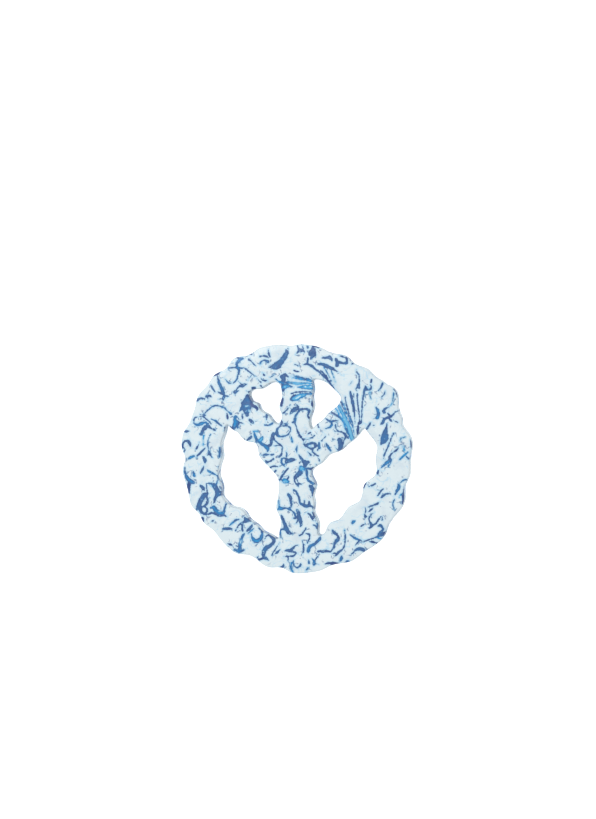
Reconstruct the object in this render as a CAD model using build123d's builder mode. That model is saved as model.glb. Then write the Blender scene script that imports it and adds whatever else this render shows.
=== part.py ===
from build123d import *

import os

os.makedirs("parts", exist_ok=True)

# A flat spoked ring, 203 mm across: a closed rim, an upright post from the bottom of the rim
# to its top, and two arms that rise from the middle of the post to the rim. It lies on XY
# with its post along Y, and its pressed underside is at Z = 0. Every edge is lumpy, as hot
# plastic strands are when they are laid by hand and pressed between two plates.

# Driving dimensions, mm
THICKNESS = 14.0         # pressed height of every member
TOP_EDGE_RADIUS = 1.4    # crisp edge left by the upper plate
FOOT_EDGE_RADIUS = 1.4   # softer edge where the plastic settled on the lower plate
SADDLE_RADIUS = 67.5     # inner circle of the rim, which the spoke ends are shaped to

# Joint lines between the members. Each line ends in the open gaps on both sides of it.
ARM_JOINT_LEFT = -15.9   # X of the face between the left arm and the post
ARM_JOINT_RIGHT = 14.0   # X of the face between the right arm and the post
LEFT_SADDLE = ((-40.3, 55.6), (-60.4, 28.2))
RIGHT_SADDLE = ((37.9, 52.6), (59.6, 24.9))

# Outer edge of the rim, anticlockwise from its right side: the crest and the foot of each lump
RIM_EDGE = (
    (99.5, -3), (99.9, 4), (101.4, 11), (100, 19), (95.6, 25.7), (93, 29.6), (92.6, 34),
    (90, 42), (89, 48), (89, 54.8), (85.5, 61.6), (78.9, 65.1), (73.4, 69.2), (70.1, 70.7),
    (64.3, 76.7), (57, 80.4), (50.6, 83.2), (45.2, 88.2), (40.8, 90.4), (31.3, 92.1),
    (22.2, 96.2), (12, 99), (2, 99.4), (-5, 98.3), (-11, 99.2), (-25, 98.1), (-32, 96.4),
    (-39.3, 91.7), (-44.2, 89.8), (-51.7, 88.6), (-56.7, 85.7), (-60.5, 80), (-67.6, 75.7),
    (-73.4, 72), (-76.8, 66.4), (-83.2, 59.3), (-87.4, 53.6), (-89.8, 44.4), (-92.4, 37),
    (-95.4, 29.8), (-99.3, 24), (-101.9, 13.2), (-101.1, 6.8), (-98.8, 1), (-100.5, -8),
    (-100.5, -13.4), (-96.4, -27.4), (-95, -34.6), (-92, -43), (-86.3, -48.5), (-83.2, -54.5),
    (-80.8, -57.6), (-74, -62.6), (-67.6, -70), (-58.8, -79), (-50.8, -83.4), (-42, -84.3),
    (-35, -87.6), (-29.5, -92), (-23, -94.8), (-12, -95), (-4.5, -98.6), (3, -99.6),
    (12, -98.6), (24.1, -95.8), (30.1, -92.7), (38, -90.4), (49.2, -88), (58.1, -81.5),
    (67, -75.7), (72.7, -71.2), (78.3, -63.7), (80.6, -57.1), (84.7, -50.8), (92.1, -41.6),
    (94.9, -34), (95.2, -22), (97.7, -17), (99.5, -11),
)

# The four open gaps, each clockwise from its upper left
UPPER_LEFT_GAP = (
    (-41, 57.3), (-38.5, 60), (-31.5, 60.8), (-26, 63.8), (-20, 66.6), (-14.4, 65.2),
    (-12.5, 60), (-12.5, 52), (-14.3, 45), (-12.2, 38), (-13, 33.3), (-15.7, 30.7),
    (-20.5, 33.3), (-24.5, 38.7), (-30, 41.7), (-32.3, 45.3), (-34, 48.3), (-38.5, 50),
    (-40.5, 53.5),
)
UPPER_RIGHT_GAP = (
    (15, 68.5), (20.5, 68.8), (28, 65.8), (35, 59.4), (39.6, 53), (36.6, 46), (29.3, 40.2),
    (23.4, 33.6), (18.2, 29.6), (14.3, 26.4), (12.3, 31), (13.3, 38), (15.6, 47.5),
    (14.5, 54), (15.4, 62),
)
LOWER_LEFT_GAP = (
    (-60.9, 29.6), (-56.5, 25.8), (-51.7, 23), (-48.2, 18.8), (-42, 14.8), (-35, 13),
    (-33.3, 8), (-32, 2), (-27, -4), (-21, -10), (-15.7, -17.3), (-14.8, -25), (-16.3, -36),
    (-17, -44), (-13.8, -51), (-13.1, -57), (-14.4, -64), (-15.8, -69.5), (-22, -66.5),
    (-28.5, -63.5), (-34, -58), (-40.7, -53.2), (-44.8, -47.3), (-50.4, -43.2), (-56.4, -41.9),
    (-61, -38.4), (-65.5, -32.3), (-65.4, -26), (-67, -20.2), (-68.7, -15), (-67.3, -4.5),
    (-65.5, 2), (-66.2, 8), (-66, 14.2), (-63.2, 22.8),
)
LOWER_RIGHT_GAP = (
    (60, 26.6), (64.1, 22.3), (69.6, 15), (71.4, 10), (70.2, 3), (70.4, -4), (70, -12.5),
    (67.2, -15.6), (60.5, -21), (58.5, -28.5), (55.7, -36), (47.3, -40.6), (41.5, -48.2),
    (36, -53), (31, -54.5), (27, -61), (24.8, -64.7), (20.5, -66), (19.5, -61),
    (20, -57), (18, -51), (15.7, -45.5), (16.4, -38), (15.4, -32.5), (17.5, -22.5),
    (14.1, -15), (13.6, -10.6), (17, -6.8), (24, -2.1), (28.8, 3.5), (37.6, 6.7),
    (43.8, 11.6), (50.3, 17), (55.7, 22.7),
)
GAPS = (UPPER_LEFT_GAP, UPPER_RIGHT_GAP, LOWER_LEFT_GAP, LOWER_RIGHT_GAP)

# Cutting outline of each spoke: it follows the joint lines, and runs through the open gaps
# everywhere else, so that it takes the whole of one member and nothing of its neighbours.
POST_LEFT_SIDE = ((-19, 70), (-19, 36), (ARM_JOINT_LEFT, 36), (ARM_JOINT_LEFT, -19.5),
                  (-19, -21), (-19, -70))
POST_RIGHT_SIDE = ((21.5, -70), (21.5, -12), (ARM_JOINT_RIGHT, -12), (ARM_JOINT_RIGHT, 31),
                   (17.5, 32), (17.5, 70))
LEFT_ARM_ABOVE = ((ARM_JOINT_LEFT, 36), (-22, 43), (-30, 51))
LEFT_ARM_BELOW = ((-55, 20), (-38, 5), (-28, -9), (-22, -14), (ARM_JOINT_LEFT, -19.5))
RIGHT_ARM_ABOVE = ((ARM_JOINT_RIGHT, 31), (20, 36), (28, 45))
RIGHT_ARM_BELOW = ((52, 14), (42, 6), (31, 0), (22, -8), (ARM_JOINT_RIGHT, -12))

# The plan is shifted so that the middle of the whole ring stands on the origin.
with BuildSketch() as rim_size:
    with BuildLine():
        Spline(*RIM_EDGE, periodic=True)
    make_face()
PLAN_CENTRE = rim_size.sketch.bounding_box().center()
BENCH = Plane(origin=(-PLAN_CENTRE.X, -PLAN_CENTRE.Y, 0))

# The pressed shape of the whole ring, which the four members share
with BuildPart() as pressing:
    with BuildSketch(BENCH):
        with BuildLine():
            Spline(*RIM_EDGE, periodic=True)
        make_face()
        for gap in GAPS:
            with BuildLine():
                Spline(*gap, periodic=True)
            make_face(mode=Mode.SUBTRACT)
    extrude(amount=THICKNESS)
    fillet(faces().sort_by(Axis.Z)[-1].edges(), radius=TOP_EDGE_RADIUS)
    fillet(faces().sort_by(Axis.Z)[0].edges(), radius=FOOT_EDGE_RADIUS)

# Upright post, one length from the bottom of the rim to its top
with BuildPart() as post:
    add(pressing.part)
    with BuildSketch(BENCH):
        with BuildLine():
            Polyline(*POST_LEFT_SIDE, *POST_RIGHT_SIDE, close=True)
        make_face()
        Circle(SADDLE_RADIUS, mode=Mode.INTERSECT)
    extrude(amount=THICKNESS, mode=Mode.INTERSECT)

# Left arm, from the post up to the rim
with BuildPart() as left_arm:
    add(pressing.part)
    with BuildSketch(BENCH):
        with BuildLine():
            Polyline(*LEFT_ARM_ABOVE, LEFT_SADDLE[0])
            RadiusArc(LEFT_SADDLE[0], LEFT_SADDLE[1], -SADDLE_RADIUS)
            Polyline(LEFT_SADDLE[1], *LEFT_ARM_BELOW, LEFT_ARM_ABOVE[0])
        make_face()
    extrude(amount=THICKNESS, mode=Mode.INTERSECT)

# Right arm, from the post up to the rim
with BuildPart() as right_arm:
    add(pressing.part)
    with BuildSketch(BENCH):
        with BuildLine():
            Polyline(*RIGHT_ARM_ABOVE, RIGHT_SADDLE[0])
            RadiusArc(RIGHT_SADDLE[0], RIGHT_SADDLE[1], SADDLE_RADIUS)
            Polyline(RIGHT_SADDLE[1], *RIGHT_ARM_BELOW, RIGHT_ARM_ABOVE[0])
        make_face()
    extrude(amount=THICKNESS, mode=Mode.INTERSECT)

# Rim, a closed band: what the three spokes leave of the pressing
with BuildPart() as rim:
    add(pressing.part)
    add(post.part, mode=Mode.SUBTRACT)
    add(left_arm.part, mode=Mode.SUBTRACT)
    add(right_arm.part, mode=Mode.SUBTRACT)

rim.part.label = "rim"
export_step(rim.part, "parts/rim.step")
post.part.label = "post"
export_step(post.part, "parts/post.step")
left_arm.part.label = "left_arm"
export_step(left_arm.part, "parts/left_arm.step")
right_arm.part.label = "right_arm"
export_step(right_arm.part, "parts/right_arm.step")
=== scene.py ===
"""Marbled spoked ring, laid flat: a lumpy pressed rim, an upright post and two arms, fused hot.

The four members share one pressed shape. It is worked out once from the plan outline, given its
thickness by a Geometry Nodes tree, veined, and then cut along the joint lines into the members.
Plan measures are in millimetres, as in the CAD, and meshes are in metres.
"""

from functools import lru_cache, reduce

import bpy
import numpy as np
from bpy.props import FloatProperty, FloatVectorProperty, IntProperty, PointerProperty
from mathutils import Matrix, Vector, geometry, kdtree


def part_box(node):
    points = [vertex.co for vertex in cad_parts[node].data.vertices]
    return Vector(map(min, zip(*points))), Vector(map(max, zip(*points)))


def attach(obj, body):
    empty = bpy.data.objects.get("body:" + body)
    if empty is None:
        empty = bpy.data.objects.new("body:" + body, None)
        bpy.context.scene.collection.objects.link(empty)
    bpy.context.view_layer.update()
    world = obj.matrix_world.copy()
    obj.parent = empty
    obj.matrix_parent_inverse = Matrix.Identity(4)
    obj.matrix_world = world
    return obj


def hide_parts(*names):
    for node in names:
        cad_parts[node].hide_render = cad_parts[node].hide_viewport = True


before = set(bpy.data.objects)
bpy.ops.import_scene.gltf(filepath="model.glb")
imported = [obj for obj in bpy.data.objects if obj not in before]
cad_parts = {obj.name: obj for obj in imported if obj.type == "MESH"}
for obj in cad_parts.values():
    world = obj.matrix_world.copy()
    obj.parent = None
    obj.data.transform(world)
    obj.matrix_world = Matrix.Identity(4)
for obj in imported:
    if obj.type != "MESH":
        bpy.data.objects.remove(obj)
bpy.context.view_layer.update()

bl_info = {
    "name": "Marbled Spoked Ring",
    "version": (1, 0, 0),
    "blender": (4, 5, 0),
    "location": "View3D > Sidebar > Spoked Ring",
    "description": "Builds a pressed, marbled plastic ring with a post and two arms",
    "category": "Add Mesh",
}

MM = 0.001
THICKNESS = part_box("rim")[1].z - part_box("rim")[0].z

# ---------------------------------------------------------------------------------------
# Plan: the outline and joint lines of the CAD, in millimetres
# ---------------------------------------------------------------------------------------

RIM_EDGE = (
    (99.5, -3), (99.9, 4), (101.4, 11), (100, 19), (95.6, 25.7), (93, 29.6), (92.6, 34),
    (90, 42), (89, 48), (89, 54.8), (85.5, 61.6), (78.9, 65.1), (73.4, 69.2), (70.1, 70.7),
    (64.3, 76.7), (57, 80.4), (50.6, 83.2), (45.2, 88.2), (40.8, 90.4), (31.3, 92.1),
    (22.2, 96.2), (12, 99), (2, 99.4), (-5, 98.3), (-11, 99.2), (-25, 98.1), (-32, 96.4),
    (-39.3, 91.7), (-44.2, 89.8), (-51.7, 88.6), (-56.7, 85.7), (-60.5, 80), (-67.6, 75.7),
    (-73.4, 72), (-76.8, 66.4), (-83.2, 59.3), (-87.4, 53.6), (-89.8, 44.4), (-92.4, 37),
    (-95.4, 29.8), (-99.3, 24), (-101.9, 13.2), (-101.1, 6.8), (-98.8, 1), (-100.5, -8),
    (-100.5, -13.4), (-96.4, -27.4), (-95, -34.6), (-92, -43), (-86.3, -48.5), (-83.2, -54.5),
    (-80.8, -57.6), (-74, -62.6), (-67.6, -70), (-58.8, -79), (-50.8, -83.4), (-42, -84.3),
    (-35, -87.6), (-29.5, -92), (-23, -94.8), (-12, -95), (-4.5, -98.6), (3, -99.6),
    (12, -98.6), (24.1, -95.8), (30.1, -92.7), (38, -90.4), (49.2, -88), (58.1, -81.5),
    (67, -75.7), (72.7, -71.2), (78.3, -63.7), (80.6, -57.1), (84.7, -50.8), (92.1, -41.6),
    (94.9, -34), (95.2, -22), (97.7, -17), (99.5, -11),
)
UPPER_LEFT_GAP = (
    (-41, 57.3), (-38.5, 60), (-31.5, 60.8), (-26, 63.8), (-20, 66.6), (-14.4, 65.2),
    (-12.5, 60), (-12.5, 52), (-14.3, 45), (-12.2, 38), (-13, 33.3), (-15.7, 30.7),
    (-20.5, 33.3), (-24.5, 38.7), (-30, 41.7), (-32.3, 45.3), (-34, 48.3), (-38.5, 50),
    (-40.5, 53.5),
)
UPPER_RIGHT_GAP = (
    (15, 68.5), (20.5, 68.8), (28, 65.8), (35, 59.4), (39.6, 53), (36.6, 46), (29.3, 40.2),
    (23.4, 33.6), (18.2, 29.6), (14.3, 26.4), (12.3, 31), (13.3, 38), (15.6, 47.5),
    (14.5, 54), (15.4, 62),
)
LOWER_LEFT_GAP = (
    (-60.9, 29.6), (-56.5, 25.8), (-51.7, 23), (-48.2, 18.8), (-42, 14.8), (-35, 13),
    (-33.3, 8), (-32, 2), (-27, -4), (-21, -10), (-15.7, -17.3), (-14.8, -25), (-16.3, -36),
    (-17, -44), (-13.8, -51), (-13.1, -57), (-14.4, -64), (-15.8, -69.5), (-22, -66.5),
    (-28.5, -63.5), (-34, -58), (-40.7, -53.2), (-44.8, -47.3), (-50.4, -43.2), (-56.4, -41.9),
    (-61, -38.4), (-65.5, -32.3), (-65.4, -26), (-67, -20.2), (-68.7, -15), (-67.3, -4.5),
    (-65.5, 2), (-66.2, 8), (-66, 14.2), (-63.2, 22.8),
)
LOWER_RIGHT_GAP = (
    (60, 26.6), (64.1, 22.3), (69.6, 15), (71.4, 10), (70.2, 3), (70.4, -4), (70, -12.5),
    (67.2, -15.6), (60.5, -21), (58.5, -28.5), (55.7, -36), (47.3, -40.6), (41.5, -48.2),
    (36, -53), (31, -54.5), (27, -61), (24.8, -64.7), (20.5, -66), (19.5, -61),
    (20, -57), (18, -51), (15.7, -45.5), (16.4, -38), (15.4, -32.5), (17.5, -22.5),
    (14.1, -15), (13.6, -10.6), (17, -6.8), (24, -2.1), (28.8, 3.5), (37.6, 6.7),
    (43.8, 11.6), (50.3, 17), (55.7, 22.7),
)
OUTLINES = (RIM_EDGE, UPPER_LEFT_GAP, UPPER_RIGHT_GAP, LOWER_LEFT_GAP, LOWER_RIGHT_GAP)

SADDLE_RADIUS = 67.5
# Joint lines, each from one open gap to another: (start, end, radius of the arc, 0 if straight)
JOINT_LINES = (
    ((17.5, 65.19), (-19, 64.77), SADDLE_RADIUS),
    ((-19, -64.77), (21.5, -63.98), SADDLE_RADIUS),
    ((-40.3, 55.6), (-60.4, 28.2), SADDLE_RADIUS),
    ((59.6, 24.9), (37.9, 52.6), SADDLE_RADIUS),
    ((-15.9, 36), (-15.9, -19.5), 0),
    ((14, 31), (14, -12), 0),
)

# ---------------------------------------------------------------------------------------
# Marbling: where each blue vein runs, in millimetres of plan, as listed (x, y, width) points.
# The first value is its tint, from 0, navy, to 1, sky.
# ---------------------------------------------------------------------------------------

NAVY, SLATE, BLUE, AZURE, SKY = 0.0, 0.25, 0.5, 0.75, 1.0

VEINS = (
    # Rim, top left
    (SLATE, (-24, 79, 1.5), (-18, 81, 5), (-13, 85, 5), (-9, 91, 4), (-9.5, 94.5, 1)),
    (SLATE, (-22, 79, 2), (-19, 78.6, 3), (-15, 79.2, 2)),
    (AZURE, (-14.6, 80.2, 1.6), (-13.4, 81.4, 1)),
    (NAVY, (-7.6, 95.4, 0.8), (-7.4, 94.5, 1.2)),
    (SLATE, (-25, 94, 0.8), (-24.6, 91, 2), (-23.4, 88, 0.5)),
    (SLATE, (-32.5, 88.5, 1), (-28, 89, 1.6), (-25, 87.3, 1)),
    (BLUE, (-32, 81.5, 1), (-31.5, 84, 1.3), (-28.5, 85.5, 1.2), (-25.5, 84, 2.8)),
    (SLATE, (-42, 86, 1.8), (-39, 83, 1.1), (-36, 80.5, 0.5)),
    (NAVY, (-42, 89.8, 0.6), (-39.5, 90.3, 1.2)),
    (BLUE, (-47.5, 86.5, 1.5), (-50, 86, 2.8), (-52.8, 83, 2.2), (-52.5, 80, 2), (-51, 76.5, 2.4),
     (-52, 72, 1.6), (-53, 68.5, 1.2), (-56.5, 65.5, 1.1), (-60, 65.5, 1), (-63.5, 69, 0.8)),
    (BLUE, (-60, 78.3, 1.4), (-56, 79, 1.8), (-50, 78.6, 2), (-46.5, 78.8, 0.8)),
    (SLATE, (-54, 87.3, 0.5), (-50, 87, 1)),
    (SLATE, (-46, 78.5, 1), (-44, 77, 1.6), (-40, 74, 1.2), (-36.5, 71.5, 0.6)),
    (SLATE, (-40, 72, 0.8), (-43, 68, 0.4)),
    (SLATE, (-35, 69.5, 0.8), (-31.5, 66, 1)),
    (SLATE, (-30, 74.5, 1), (-28.5, 72, 1.2)),
    (SLATE, (-31.5, 70, 0.8), (-30, 68, 1.6), (-26, 67.7, 1)),
    (SLATE, (-23.5, 70.5, 0.4), (-20, 72.3, 1)),
    (NAVY, (-32, 63.5, 1.2), (-30, 61, 0.8)),
    (NAVY, (-39.2, 61.4, 1.8), (-37, 61.6, 2)),
    (SLATE, (-44, 64.5, 0.6), (-47.5, 63.3, 3), (-51, 62.5, 1.4), (-53.2, 60, 1.4),
     (-54, 57.8, 3), (-56, 57, 1.5)),
    (SLATE, (-54, 57.8, 2), (-51, 59, 0.6)),
    (SLATE, (-52, 67.5, 0.4), (-49, 65, 1.2), (-45, 64.5, 1)),
    (NAVY, (-44.5, 58.8, 0.8), (-42, 58, 2.2), (-39.5, 58.8, 0.8)),
    (NAVY, (-73, 72.2, 1.4), (-70.3, 73.4, 2.6), (-67.6, 75.4, 1)),
    (BLUE, (-70, 71, 1.4), (-69, 66, 2.4), (-67, 62, 3), (-65.5, 58, 2.8), (-64, 55, 2),
     (-65, 52, 2.2), (-65, 50.3, 0.8)),
    (BLUE, (-64, 54.5, 1.4), (-62, 54.2, 1.2), (-60.3, 53.8, 0.6)),
    (SLATE, (-69.5, 57.8, 1), (-67.5, 56.6, 2), (-65.5, 56, 2)),
    (SLATE, (-69.5, 51.5, 0.5), (-66.5, 51.8, 0.8)),
    (SLATE, (-76, 63.5, 1.2), (-74.5, 60.5, 1.6), (-72.3, 57.8, 1)),
    (SLATE, (-88.6, 50.3, 2), (-86, 51.8, 1.6), (-82, 51.7, 1.6)),
    (SLATE, (-80, 53.8, 2.2), (-77.5, 54.4, 2.2), (-75.7, 53.5, 0.7)),
    (SLATE, (-79, 53, 1), (-78.3, 49.5, 0.5)),
    # Rim, left
    (BLUE, (-83, 38, 1.2), (-79, 41.5, 1), (-75, 45, 1.6), (-70, 45.7, 1.6), (-65, 44.2, 1.6),
     (-61, 41, 1.6), (-57.8, 38.3, 1.6)),
    (SLATE, (-86, 38, 0.5), (-83, 37.6, 1.6), (-81, 37.3, 0.8)),
    (SLATE, (-91.5, 33, 1.5), (-90.5, 35, 1.2), (-87, 36, 0.8), (-83, 35.8, 1),
     (-80, 33.7, 1.2), (-77.5, 32, 1.6), (-76, 30, 0.8)),
    (BLUE, (-91.5, 30.3, 0.8), (-88.5, 29, 2.6), (-85, 29.8, 2.6), (-81, 31, 2), (-79, 29, 3)),
    (SLATE, (-79, 29, 3), (-81, 27, 3.6), (-83.5, 24, 3.2), (-84.5, 21, 2.6), (-86, 20.7, 1.2)),
    (SLATE, (-79, 28.5, 2.5), (-76, 26, 1.8), (-73.5, 25, 1.6), (-72.3, 24.3, 1.4)),
    (BLUE, (-76, 34, 0.6), (-72.5, 32.8, 1.4), (-70, 31, 1.6), (-68, 29.5, 1.4), (-66.5, 28, 0.8)),
    (SLATE, (-64.3, 27, 0.5), (-63.9, 25, 1.1), (-65, 24, 0.6)),
    (NAVY, (-61.8, 39, 1), (-61.3, 36, 2.1), (-61, 34, 1)),
    (SLATE, (-100, 23, 1), (-98, 23, 2.2), (-95.5, 23.3, 0.8)),
    (SLATE, (-101.8, 9.5, 1.6), (-101, 12.8, 2), (-99, 15, 1.4), (-96.6, 14.6, 2.8),
     (-94.6, 12, 2.4), (-94.6, 10.2, 1)),
    (SLATE, (-101.2, 9, 1.4), (-99.4, 7.6, 1), (-100, 5.6, 0.9)),
    (SLATE, (-86.5, 14, 0.6), (-87.5, 11, 1.2), (-89, 8.5, 2), (-90, 7.7, 1)),
    (SLATE, (-81, 9, 0.8), (-84, 6, 1.8), (-87, 3, 1.8), (-89.5, 1, 1.4)),
    (AZURE, (-96, -0.6, 1.5), (-94, 0.6, 2.4), (-91, 1.8, 1.6)),
    (SKY, (-82.5, 20, 1), (-83, 15, 0.8), (-83, 11, 0.6)),
    (BLUE, (-76.5, 20.5, 1.2), (-78.5, 16.5, 0.8), (-79, 12, 1.2), (-78, 7, 1.4),
     (-77.5, 4, 2.4), (-75.5, 1, 1.4), (-74.5, 0.3, 0.8)),
    (SLATE, (-79.5, 2.5, 0.8), (-77, 3.2, 2)),
    (BLUE, (-68.8, 9, 1), (-68.7, 5, 1.8), (-68.7, 1.3, 1.4)),
    (SLATE, (-83.3, 1, 1.2), (-81.6, -1.5, 3.2), (-81.4, -4.7, 1)),
    (SLATE, (-82.5, -7, 0.6), (-84, -10.5, 2.3), (-85.3, -13.3, 1.6)),
    (BLUE, (-99.4, -8.5, 0.9), (-99, -13.5, 2), (-97, -18, 3.2), (-94, -20.5, 4), (-91.3, -21.5, 1.8)),
    (NAVY, (-95, -20.5, 3.4), (-96, -25, 3.6), (-95.8, -30.5, 1.6)),
    (BLUE, (-92, -11.5, 0.6), (-91.5, -14, 2.8), (-90.8, -15.8, 1.6)),
    (BLUE, (-79.5, -10.5, 0.8), (-77.5, -12, 2), (-74.5, -13.5, 1.4), (-71, -15.5, 1.4),
     (-70.3, -18.5, 1.2), (-71, -22, 1.6)),
    (SLATE, (-80.5, -22.5, 0.8), (-77, -22.5, 1.6), (-73.5, -24, 4), (-71, -28, 4.5),
     (-69.5, -31, 4.8), (-67, -29.5, 2.8), (-65.5, -28, 1.2)),
    (SLATE, (-70.5, -32, 4), (-73, -36, 2), (-73, -38.5, 2), (-74.5, -39.7, 0.8)),
    (SLATE, (-69.8, -7.2, 1), (-69.5, -8.2, 1.5)),
    (SLATE, (-86, -24, 1.2), (-83.8, -26, 3.4), (-82.6, -28, 1.5)),
    (SLATE, (-80, -24, 1), (-79.7, -27, 1.1), (-79.2, -30.5, 1.8)),
    (SLATE, (-79, -31, 2), (-82.5, -33, 4.6), (-85.2, -37.5, 4.2), (-86.8, -41.5, 4.2),
     (-88.6, -44.8, 2.6)),
    (SLATE, (-80.3, -33.5, 2.2), (-78.9, -37, 2.2), (-80, -40.5, 2), (-82.5, -42.2, 1.6)),
    (SLATE, (-85.3, -42.5, 2.2), (-84.6, -46, 2), (-82.6, -48.6, 1.6), (-80, -47.6, 1.7),
     (-79.4, -44.4, 1.5), (-81.5, -42.3, 1.3)),
    (SLATE, (-87.5, -44.5, 1.2), (-85.5, -46.5, 2.4), (-82, -49, 1.6), (-79, -49.2, 1.4),
     (-75.5, -47.7, 2)),
    (BLUE, (-76.3, -43.6, 1.4), (-73.5, -43.2, 3.2), (-71.5, -46, 4.2), (-68, -48, 3.8),
     (-65, -47.8, 3), (-64, -44.5, 1.8), (-63, -41, 1.4), (-62.3, -39.9, 0.8)),
    (SLATE, (-75.5, -47.8, 2), (-71, -48.8, 2.4), (-68.8, -50.4, 2), (-65, -49.7, 2),
     (-61.5, -51, 0.8)),
    (NAVY, (-83.6, -52.6, 2.4), (-83.2, -55.6, 2.2)),
    (SLATE, (-76, -55.7, 0.6), (-74.5, -54.9, 1.4), (-73, -54, 0.5)),
    # Rim, bottom left
    (AZURE, (-55.5, -55.5, 1.6), (-57.5, -57, 2), (-59.5, -58.5, 0.8)),
    (SLATE, (-51, -53.3, 1), (-53.5, -53.8, 2), (-55.5, -55.5, 1.6)),
    (SLATE, (-66, -62, 0.8), (-62.5, -61.5, 2.7), (-58, -61.8, 2), (-57, -61.5, 0.6)),
    (SLATE, (-46, -51.5, 0.8), (-45, -54, 3.5), (-42.5, -54.8, 2.2), (-40.8, -55.3, 0.8)),
    (SLATE, (-46, -55.2, 2.4), (-49.5, -57, 1.8), (-52, -59.5, 1.2), (-54, -63, 1)),
    (SLATE, (-48, -57.5, 1.8), (-48.3, -61, 1.8), (-47.8, -63.3, 1.8)),
    (BLUE, (-46.5, -66, 1.8), (-48.5, -69.5, 2.6), (-49.7, -73, 2.3), (-50.3, -76, 3),
     (-50.5, -79.5, 3.6)),
    (BLUE, (-55.3, -79.8, 1), (-51, -81, 3), (-47, -80, 1.8)),
    (SLATE, (-53.7, -76.3, 0.8), (-51.5, -77, 1.8)),
    (SLATE, (-44, -63.5, 1.2), (-42.5, -62, 2.6), (-40, -59.5, 2.3), (-39.4, -58, 0.8)),
    (SKY, (-43, -65.3, 0.9), (-40, -63, 0.8), (-38, -61, 0.6)),
    (BLUE, (-40, -66, 1), (-39.3, -69, 2), (-36.5, -72, 3.8), (-33, -71, 3.6), (-30.8, -67.5, 2.6),
     (-31, -64.5, 1.6), (-33.5, -61, 0.8)),
    (SLATE, (-28, -70, 0.6), (-27, -67.6, 1.2), (-24.5, -67.2, 1.6), (-21.5, -69.5, 2.4),
     (-20, -72, 2.8), (-23, -75.5, 3), (-27, -78, 4), (-29, -81.5, 3.8), (-29.5, -85, 2.8),
     (-27.5, -87, 2.8), (-25.3, -88, 1.6)),
    (NAVY, (-30, -86.5, 2), (-32.5, -88, 1.8), (-35, -86, 0.8)),
    (SLATE, (-15, -73, 1), (-17.5, -77, 1.1), (-20.5, -81.5, 1), (-22, -84.5, 0.8)),
    (SLATE, (-14.5, -79, 0.6), (-17, -81.5, 2), (-19.5, -83, 1)),
    (NAVY, (-61, -74.7, 0.8), (-59, -75.2, 1.9), (-57, -76, 0.8)),
    (SLATE, (-11.5, -91.5, 0.8), (-12, -93.5, 2), (-15, -94.5, 0.8)),
    # Rim, bottom
    (SLATE, (-11.5, -85, 0.6), (-8, -85, 1.2), (-3, -84.5, 1.4), (-0.5, -82, 1.4),
     (-3, -81, 1.6), (-6.5, -79.8, 3), (-10.5, -80.3, 1)),
    (SLATE, (-5.5, -79.6, 2.4), (-3, -77.2, 2.2), (-0.5, -75.4, 1), (1.5, -75, 0.4)),
    (SLATE, (-8.5, -84.5, 1), (-7.3, -86, 2), (-7.5, -89.5, 0.8)),
    (AZURE, (-4.5, -90, 1), (-5, -94, 1.6), (-4, -97, 1.6), (-3, -98, 0.8)),
    (BLUE, (3.5, -91.5, 1.6), (2.5, -93.5, 1.8), (0, -94.5, 1.6), (-2.5, -92.5, 1.4), (-3, -88.5, 1)),
    (SLATE, (5, -71, 0.6), (6, -74.5, 1.4), (6, -79, 1.8), (5.5, -82, 1)),
    (BLUE, (20.7, -68.5, 2.2), (18.5, -71.5, 2.6), (15.5, -74, 2.6), (12.5, -75.5, 3.2),
     (10.5, -78.5, 3), (10, -81, 2), (10.5, -82.2, 0.8)),
    (BLUE, (13.5, -86.6, 1), (15.3, -88.5, 2), (15.5, -91, 2.4), (15, -92.5, 0.8)),
    (SLATE, (16, -88, 1.2), (18.5, -84.8, 0.7)),
    (BLUE, (10.8, -88, 0.8), (11, -90.5, 2)),
    (SLATE, (16, -90.5, 1), (19.5, -91.3, 0.6)),
    (AZURE, (10, -94.3, 0.8), (8.7, -96.3, 1.4)),
    (SLATE, (18.5, -80.3, 1.6), (22, -80.2, 2.4), (26, -79.7, 2.6), (30, -80, 1.6)),
    (SLATE, (31.5, -61.5, 1.6), (32.5, -63.5, 2.4), (35.5, -65.5, 2), (36.7, -68.5, 2.6),
     (35, -71, 3), (33.2, -73.5, 2), (32.5, -77, 1.6), (30, -80, 1.2)),
    (SKY, (42, -61.5, 1.4), (42.3, -63.5, 0.8)),
    (SLATE, (42.3, -63.5, 0.8), (42.7, -66, 1), (42.2, -70, 2), (42.2, -74, 1.4), (40.5, -77.5, 1.4),
     (37.5, -80, 2), (35, -82.5, 2.4), (34, -84, 1)),
    (SLATE, (31, -82, 0.8), (34, -81.5, 1.2)),
    (BLUE, (39.2, -83.7, 1.6), (39, -86, 2.8), (38.4, -87.8, 1.6)),
    (NAVY, (25, -90.8, 0.8), (29, -90, 2), (33, -90.4, 3.2), (37.5, -90, 1.2)),
    (BLUE, (43, -88.7, 0.9), (44.5, -88, 1.9), (46, -87.7, 0.8)),
    (SLATE, (59.5, -79.3, 1.6), (57.5, -77.7, 3), (54, -77.5, 3), (51, -79.3, 1.6), (48, -82, 0.6)),
    # Rim, bottom right
    (SLATE, (76.5, -64.8, 1.4), (72, -66, 1.4), (68, -67.5, 1.3), (64, -69, 1.2), (60, -70.7, 1.1),
     (56.5, -70.5, 1.1)),
    (BLUE, (56.5, -70.3, 1.1), (54, -69.3, 1.8), (50, -67.5, 2.2), (47, -65.3, 1)),
    (SLATE, (54.8, -70, 1), (53, -72.5, 1.2), (51.2, -74.8, 0.6)),
    (BLUE, (71, -57.5, 0.8), (73.5, -57, 2.4), (75.3, -60, 2), (73.5, -62.8, 2.4), (71.3, -64.2, 1.4)),
    (NAVY, (73.5, -63.8, 2.2), (77, -63, 2), (79, -60.7, 1.4)),
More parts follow.
